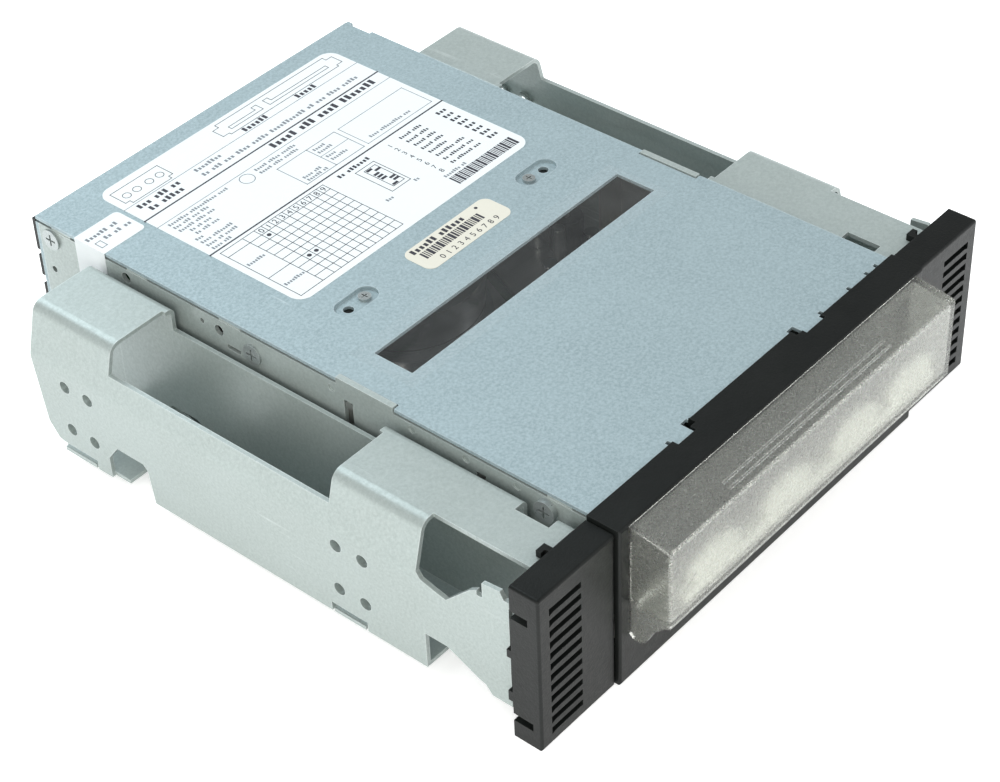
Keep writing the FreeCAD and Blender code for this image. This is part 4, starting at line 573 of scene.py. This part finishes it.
# The dark printing of the main label: socket outlines, revision grid, switch picture and stripes
def makeMainPrint(s):
    area = printArea("main_label")
    for v in s["dividers"]:
        area.line(0.0, v, 1.0, v, ink["thick"])
    # Pin layout of the power socket
    u0, v0, u1, v1 = s["pinOutline"]
    cut = s["pinCorner"]
    area.path([(u0, v0), (u1, v0), (u1, v1 - cut), (u1 - cut, v1 - cut), (u1 - cut, v1), (u0 + cut, v1),
               (u0 + cut, v1 - cut), (u0, v1 - cut), (u0, v0)], ink["fine"])
    for u in s["pins"]:
        area.ring(u, s["pinRow"], s["pinRadius"], ink["fine"])
    # Outline of the long data socket with its two slots
    u0, v0, u1, v1 = s["plug"]
    ear = s["plugEar"]
    high, middle, low = s["slotRows"]
    area.path([(u0, middle - ear), (u0 + ear, middle - ear), (u0 + ear, v0), (u1 - ear, v0), (u1 - ear, middle - ear),
               (u1, middle - ear), (u1, low + ear / 2), (u1 - ear, low + ear / 2), (u1 - ear, v1 - ear / 2),
               (u0 + ear, v1 - ear / 2), (u0 + ear, low + ear / 2), (u0, low + ear / 2), (u0, middle - ear)],
              ink["fine"])
    for left, hook, right in s["slots"]:
        area.path([(left, middle), (hook, middle), (hook, high), (right, high), (right, low), (left, low),
                   (left, middle)], ink["fine"])
    # Revision grid
    left, top, right, bottom = s["grid"]
    columnStep = (right - s["gridSecond"]) / s["gridColumns"]
    rowStep = (bottom - top) / s["gridRows"]
    area.line(left, top, left, bottom, ink["fine"])
    for index in range(s["gridColumns"] + 1):
        u = s["gridSecond"] + columnStep * index
        area.line(u, top, u, bottom, ink["fine"])
    area.line(s["gridFirst"], top, s["gridFirst"], bottom, ink["fine"])
    for index in range(s["gridRows"] + 1):
        start = left if index in s["wideRows"] else s["gridFirst"]
        area.line(start, top + rowStep * index, right, top + rowStep * index, ink["fine"])
    for index in range(s["gridColumns"]):
        area.number(str(index), s["gridSecond"] + columnStep * (index + 0.5), top + rowStep * s["digitDrop"],
                    s["digit"])
    for column, row in s["dots"]:
        area.dot(s["gridSecond"] + columnStep * (column + 0.5), top + rowStep * (row + 0.5), s["dotRadius"])
    # Switch picture: eight levers, some of them closed, and the list of what they set
    u0, v0, u1, v1 = s["switchBox"]
    du, dv = s["switchInset"]
    area.frame(u0, v0, u1, v1, ink["fine"])
    area.frame(u0 + du, v0 + dv, u1 - du / 2, v1 - dv, ink["fine"])
    step = (v1 - v0 - 2 * dv) / s["switches"]
    numberLeft, numberDrop = s["listNumber"]
    for index in range(s["switches"]):
        v = v0 + dv + step * (index + 0.5)
        leverLeft = u0 + du + s["leverPlaces"][index in s["closed"]]
        x0, y0 = area.place(leverLeft, v + step * s["leverHalf"])
        x1, y1 = area.place(leverLeft + s["leverWidth"], v - step * s["leverHalf"])
        area.block(x0, x1, y0, y1)
        area.number(str(index + 1), numberLeft, s["listTop"] + s["listStep"] * index + numberDrop, s["listDigit"])
    area.stripes(*s["stripes"], s["stripeWidths"])
    for u, v, groups, size in s["headings"]:
        area.marks(u, v, groups, size)
    for index, groups in enumerate(s["list"]):
        v = s["listTop"] + s["listStep"] * index
        area.marks(s["listNames"], v, groups, "small")
        area.marks(s["listRight"], v, (3,), "plain")
    return area.finish("label_print", "labelInk")


labelText = {
    "dividers": (0.146, 0.313),
    "plainRows": ((0.268, 0.160, (8,)), (0.268, 0.200, (2, 3, 3, 4, 5, 11, 2, 3, 4, 5))),
    "smallRows": (
        (0.027, 0.327, (8, 11, 4)), (0.027, 0.353, (3, 3, 3, 3)), (0.027, 0.380, (6, 4, 3)), (0.05, 0.407, (2, 2, 3)),
        (0.05, 0.434, (2, 3, 3)), (0.027, 0.461, (3,)), (0.027, 0.488, (4, 8)), (0.027, 0.515, (4, 2, 5)),
        (0.027, 0.542, (4, 3)), (0.38, 0.330, (5, 5, 6)), (0.38, 0.356, (5, 4, 6)), (0.562, 0.41, (5,)),
        (0.562, 0.435, (6,)), (0.562, 0.475, (4,)), (0.562, 0.5, (7,)), (0.44, 0.5, (4, 3)), (0.44, 0.522, (6, 2)),
        (0.72, 0.512, (4, 10, 3)), (0.505, 0.827, (3,)), (0.632, 0.822, (2,)), (0.70, 0.892, (7, 2)),
        (0.032, 0.705, (7,)), (0.032, 0.88, (8,)),
    ),
    "stampRing": (0.335, 0.352, 1.9 * mm), "markBox": (0.424, 0.395, 0.672, 0.545), "markSplit": (0.55, 0.466),
    "wideBox": (0.69, 0.395, 0.978, 0.545),
}


# The grey printing of the main label: rows of small marks and empty boxes
def makeLabelText(s):
    area = printArea("main_label")
    for v in s["dividers"]:
        area.line(0.0, v, 1.0, v, ink["fine"])
    for u, v, groups in s["plainRows"]:
        area.marks(u, v, groups, "plain")
    for u, v, groups in s["smallRows"]:
        area.marks(u, v, groups, "small")
    area.ring(*s["stampRing"], ink["line"])
    u0, v0, u1, v1 = s["markBox"]
    u, v = s["markSplit"]
    area.frame(u0, v0, u1, v1, ink["line"])
    area.line(u, v0, u, v1, ink["line"])
    area.line(u, v, u1, v, ink["fine"])
    area.frame(*s["wideBox"], ink["fine"])
    return area.finish("label_text", "greyInk")


smallPrint = {
    "stripes": (0.1, 0.8, 0.32, 0.60),
    "stripeWidths": (2, 1, 1, 3, 1, 2, 1, 3, 1, 1, 2, 1, 3, 2, 1, 1, 2, 3, 1, 2, 1, 1, 3, 1, 2),
    "heading": (0.07, 0.07, (6, 6), "bold"),
    "digits": "0123456789", "digitLeft": 0.2, "digitStep": 0.072, "digitRow": 0.90, "digit": 2.2 * mm,
    "dot": (0.84, 0.16, 0.42 * mm),
}


def makeSmallPrint(s):
    area = printArea("small_label")
    area.stripes(*s["stripes"], s["stripeWidths"])
    area.marks(*s["heading"])
    for index, digit in enumerate(s["digits"]):
        area.number(digit, s["digitLeft"] + s["digitStep"] * index, s["digitRow"], s["digit"])
    area.dot(*s["dot"])
    return area.finish("small_label_print", "labelInk")


sealPrint = {"rows": ((0.06, 0.26, (6, 2)), (0.32, 0.5, (2, 2, 2))), "box": (0.1, 0.56, 0.22, 0.8)}


def makeSealPrint(s):
    area = printArea("seal_label")
    for u, v, groups in s["rows"]:
        area.marks(u, v, groups, "plain")
    area.frame(*s["box"], ink["line"])
    return area.finish("seal_print", "greyInk")


makeMainPrint(mainPrint)
makeLabelText(labelText)
makeSmallPrint(smallPrint)
makeSealPrint(sealPrint)
print("label printing made")


guardHighlightStrip = {"ends": (-42.0, 44.0), "foot": (-84.2, 22.2), "footWidth": 2.4, "footHeight": 2.8,
              "humps": (-32, -8, 16, 36), "radii": (8.5, 1.9, 3.8), "rise": 3.4}


# Painted highlight: a white strip with four soft humps behind the guard's frosted front, whose humps show through the
# frost as bright soft blobs
def makeGuardStrip(s):
    bm = bmesh.new()
    y, z = s["foot"]
    halfWidth, halfHeight = s["footWidth"] / 2, s["footHeight"] / 2
    left, right = s["ends"]
    addBlock(bm, left * mm, right * mm, (y - halfWidth) * mm, (y + halfWidth) * mm, (z - halfHeight) * mm,
             (z + halfHeight) * mm)
    for x in s["humps"]:
        place = Matrix.Translation((x * mm, y * mm, (z + s["rise"]) * mm))
        size = Matrix.Diagonal([radius * mm for radius in s["radii"]] + [1.0])
        bmesh.ops.create_uvsphere(bm, u_segments=32, v_segments=16, radius=1.0, matrix=place @ size)
    return finishPiece("guard_highlight_strip", meshFrom(bm, "guard_highlight_strip"), "softWhite", "guard")


makeGuardStrip(guardHighlightStrip)
print("guard strip made")


coverScrews = {"across": (24.0, 31.0), "low": 38.5, "rear": 30.0, "scale": 0.58}


# The countersunk screws, with the heads of the two in the cover's dishes drawn in to their real size
def makeFlatScrews(s):
    bm = bmesh.new()
    bm.from_mesh(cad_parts["flat_head_screws"].data)
    bmesh.ops.remove_doubles(bm, verts=bm.verts, dist=mergeDistance)
    inner, outer = s["across"]
    for side in (-1, 1):
        head = [vert for vert in bm.verts if inner * mm < vert.co.x * side < outer * mm
                and vert.co.z > s["low"] * mm and vert.co.y < s["rear"] * mm]
        centre = sum((vert.co for vert in head), Vector()) / len(head)
        bmesh.ops.scale(bm, verts=head, vec=(s["scale"], s["scale"], 1.0), space=Matrix.Translation(-centre))
    piece = finishPiece("flat_screws", meshFrom(bm, "flat_screws"), "screwSteel", "drive")
    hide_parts("flat_head_screws")


makeFlatScrews(coverScrews)
print("cover screws made")


filmSheet = {"lift": 0.05}


# The window film, its underside lifted a hair off the cover so that the two faces don't fight
def makeFilmSheet(s):
    bm = bmesh.new()
    bm.from_mesh(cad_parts["window_film"].data)
    bmesh.ops.remove_doubles(bm, verts=bm.verts, dist=mergeDistance)
    lift = s["lift"] * mm
    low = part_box("window_film")[0].z
    under = [vert for vert in bm.verts if vert.co.z < low + lift]
    bmesh.ops.translate(bm, verts=under, vec=(0, 0, lift))
    piece = finishPiece("window_film_sheet", meshFrom(bm, "window_film_sheet"), "clearFilm", "drive")
    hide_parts("window_film")


makeFilmSheet(filmSheet)


sightHoleShade = {"x": 32.0, "radius": 1.15, "height": 0.08, "lift": 0.01, "segments": 28}


# Painted shade: dark discs under the two sight holes beside the cover screws, so the holes look as dark as their shaded
# insides
def makeSightBlanks(s):
    bm = bmesh.new()
    braceLow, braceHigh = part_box("cross_brace")
    y = (braceLow.y + braceHigh.y) / 2
    for side in (-1, 1):
        addDisc(bm, side * s["x"] * mm, y, braceHigh.z + s["lift"] * mm, s["radius"] * mm, s["height"] * mm,
                s["segments"])
    return finishPiece("sight_hole_painted_shade", meshFrom(bm, "sight_hole_painted_shade"), "blackPlastic", "drive")


makeSightBlanks(sightHoleShade)


ventShade = {"inset": (1.7, 2.0), "behind": 2.03, "thickness": 0.2}


# Painted shade: thin dark sheets behind the slots of the two end covers, so the slots look dark as the shaded hollow
# behind them
def makeVentBacking(s):
    for side in ("left", "right"):
        low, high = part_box("bezel_extension_" + side)
        dx, dz = (inset * mm for inset in s["inset"])
        y = low.y + s["behind"] * mm
        bm = bmesh.new()
        addBlock(bm, low.x + dx, high.x - dx, y, y + s["thickness"] * mm, low.z + dz, high.z - dz)
        name = "vent_painted_shade_" + side
        finishPiece(name, meshFrom(bm, name), "blackPlastic", "drive")


makeVentBacking(ventShade)
print("film, blanks and vent backing made")


cameraSettings = {"target": (-0.087 * mm, -6.525 * mm, 3.302 * mm), "azimuth": -48.51, "elevation": 40.115,
                  "roll": -2.277, "distance": 557.5 * mm, "lens": 90.27, "sensor": 36.0,
                  "shift": (-0.0121, 0.0064), "nearest": 0.01}


def makeCamera(s):
    azimuth, elevation, roll = (math.radians(s[key]) for key in ("azimuth", "elevation", "roll"))
    back = Vector((math.sin(azimuth) * math.cos(elevation), -math.cos(azimuth) * math.cos(elevation),
                   math.sin(elevation)))
    across = (-back).cross(Vector((0, 0, 1))).normalized()
    upward = across.cross(-back)
    side = across * math.cos(roll) + upward * math.sin(roll)
    top = upward * math.cos(roll) - across * math.sin(roll)
    data = bpy.data.cameras.new("camera")
    data.lens = s["lens"]
    data.sensor_width = s["sensor"]
    data.shift_x, data.shift_y = s["shift"]
    data.clip_start = s["nearest"]
    camera = bpy.data.objects.new("camera", data)
    bpy.context.scene.collection.objects.link(camera)
    turn = Matrix((side, top, back)).transposed().to_4x4()
    camera.matrix_world = Matrix.Translation(Vector(s["target"]) + back * s["distance"]) @ turn
    bpy.context.scene.camera = camera


makeCamera(cameraSettings)


lightSettings = {
    "key": {"place": (-0.8, -0.5, 0.42), "size": 0.8, "power": 3.4, "colour": (1.0, 0.97, 0.86)},
    "fill": {"place": (0.75, -0.5, 0.5), "size": 0.8, "power": 2.0, "colour": (0.95, 0.98, 1.0)},
    "rear": {"place": (0.1, 0.7, 0.8), "size": 0.7, "power": 4.6, "colour": (0.82, 0.94, 1.0)},
}


def makeLight(name, s):
    data = bpy.data.lights.new(name, "AREA")
    data.shape = "SQUARE"
    data.size = s["size"]
    data.energy = s["power"]
    data.color = s["colour"]
    lamp = bpy.data.objects.new(name, data)
    bpy.context.scene.collection.objects.link(lamp)
    place = Vector(s["place"])
    lamp.matrix_world = Matrix.Translation(place) @ place.to_track_quat("Z", "Y").to_matrix().to_4x4()


# 1 where the eye, a reflection or a view through glass looks straight at the surface
def seenDirectly(tree):
    path = tree.nodes.new("ShaderNodeLightPath")
    first = addNode(tree, "ShaderNodeMath", operation="MAXIMUM")
    second = addNode(tree, "ShaderNodeMath", operation="MAXIMUM")
    link(tree, path.outputs["Is Camera Ray"], first.inputs[0])
    link(tree, path.outputs["Is Glossy Ray"], first.inputs[1])
    link(tree, first.outputs[0], second.inputs[0])
    link(tree, path.outputs["Is Transmission Ray"], second.inputs[1])
    return second.outputs[0]


worldSettings = {"diffuse": 0.95, "horizon": 1.0, "zenith": 0.22, "riseStart": 0.0, "riseEnd": 0.55}


# White all round to the eye and even as a light; reflections see it dimmer overhead, as under a dark ceiling
def makeWorld(s):
    world = bpy.data.worlds.new("studio")
    bpy.context.scene.world = world
    world.use_nodes = True
    tree = world.node_tree
    back = tree.nodes["Background"]
    back.inputs["Color"].default_value = (1.0, 1.0, 1.0, 1.0)
    place = addNode(tree, "ShaderNodeTexCoord")
    parts = addNode(tree, "ShaderNodeSeparateXYZ")
    fall = addNode(tree, "ShaderNodeMapRange", {"From Min": s["riseStart"], "From Max": s["riseEnd"],
                                                "To Min": s["horizon"], "To Max": s["zenith"]})
    path = tree.nodes.new("ShaderNodeLightPath")
    mirrored = addNode(tree, "ShaderNodeMix", {2: s["diffuse"]}, data_type="FLOAT")
    seen = addNode(tree, "ShaderNodeMath", operation="MAXIMUM")
    level = addNode(tree, "ShaderNodeMix", {3: 1.0}, data_type="FLOAT")
    link(tree, place.outputs["Generated"], parts.inputs[0])
    link(tree, parts.outputs["Z"], fall.inputs["Value"])
    link(tree, path.outputs["Is Glossy Ray"], mirrored.inputs[0])
    link(tree, fall.outputs[0], mirrored.inputs[3])
    link(tree, path.outputs["Is Camera Ray"], seen.inputs[0])
    link(tree, path.outputs["Is Transmission Ray"], seen.inputs[1])
    link(tree, seen.outputs[0], level.inputs[0])
    link(tree, mirrored.outputs[0], level.inputs[2])
    link(tree, level.outputs[0], back.inputs["Strength"])


floorSettings = {"radius": 3.0, "segments": 64, "gap": 0.02, "colour": (0.9, 0.9, 0.9), "rough": 0.9, "glow": 0.5}


# Pale matt paper under the drive: it glows a little where it is looked at, and keeps the shadow
def makeFloor(s):
    bm = bmesh.new()
    bmesh.ops.create_circle(bm, cap_ends=True, segments=s["segments"], radius=s["radius"],
                            matrix=Matrix.Translation((0, 0, cadLow.z - s["gap"] * mm)))
    mesh = meshFrom(bm, "floor")
    floor = bpy.data.objects.new("floor", mesh)
    bpy.context.scene.collection.objects.link(floor)
    material, tree, shader = newMaterial("floorPaper")
    shader.inputs["Base Color"].default_value = (*s["colour"], 1.0)
    shader.inputs["Roughness"].default_value = s["rough"]
    shader.inputs["Specular IOR Level"].default_value = 0.0
    level = addNode(tree, "ShaderNodeMath", {1: s["glow"]}, operation="MULTIPLY")
    link(tree, seenDirectly(tree), level.inputs[0])
    shader.inputs["Emission Color"].default_value = (1.0, 1.0, 1.0, 1.0)
    link(tree, level.outputs[0], shader.inputs["Emission Strength"])
    mesh.materials.append(material)


for name, settings in lightSettings.items():
    makeLight(name, settings)
makeWorld(worldSettings)
makeFloor(floorSettings)
bpy.context.scene.view_settings.view_transform = "Standard"
print("camera, light and floor made")
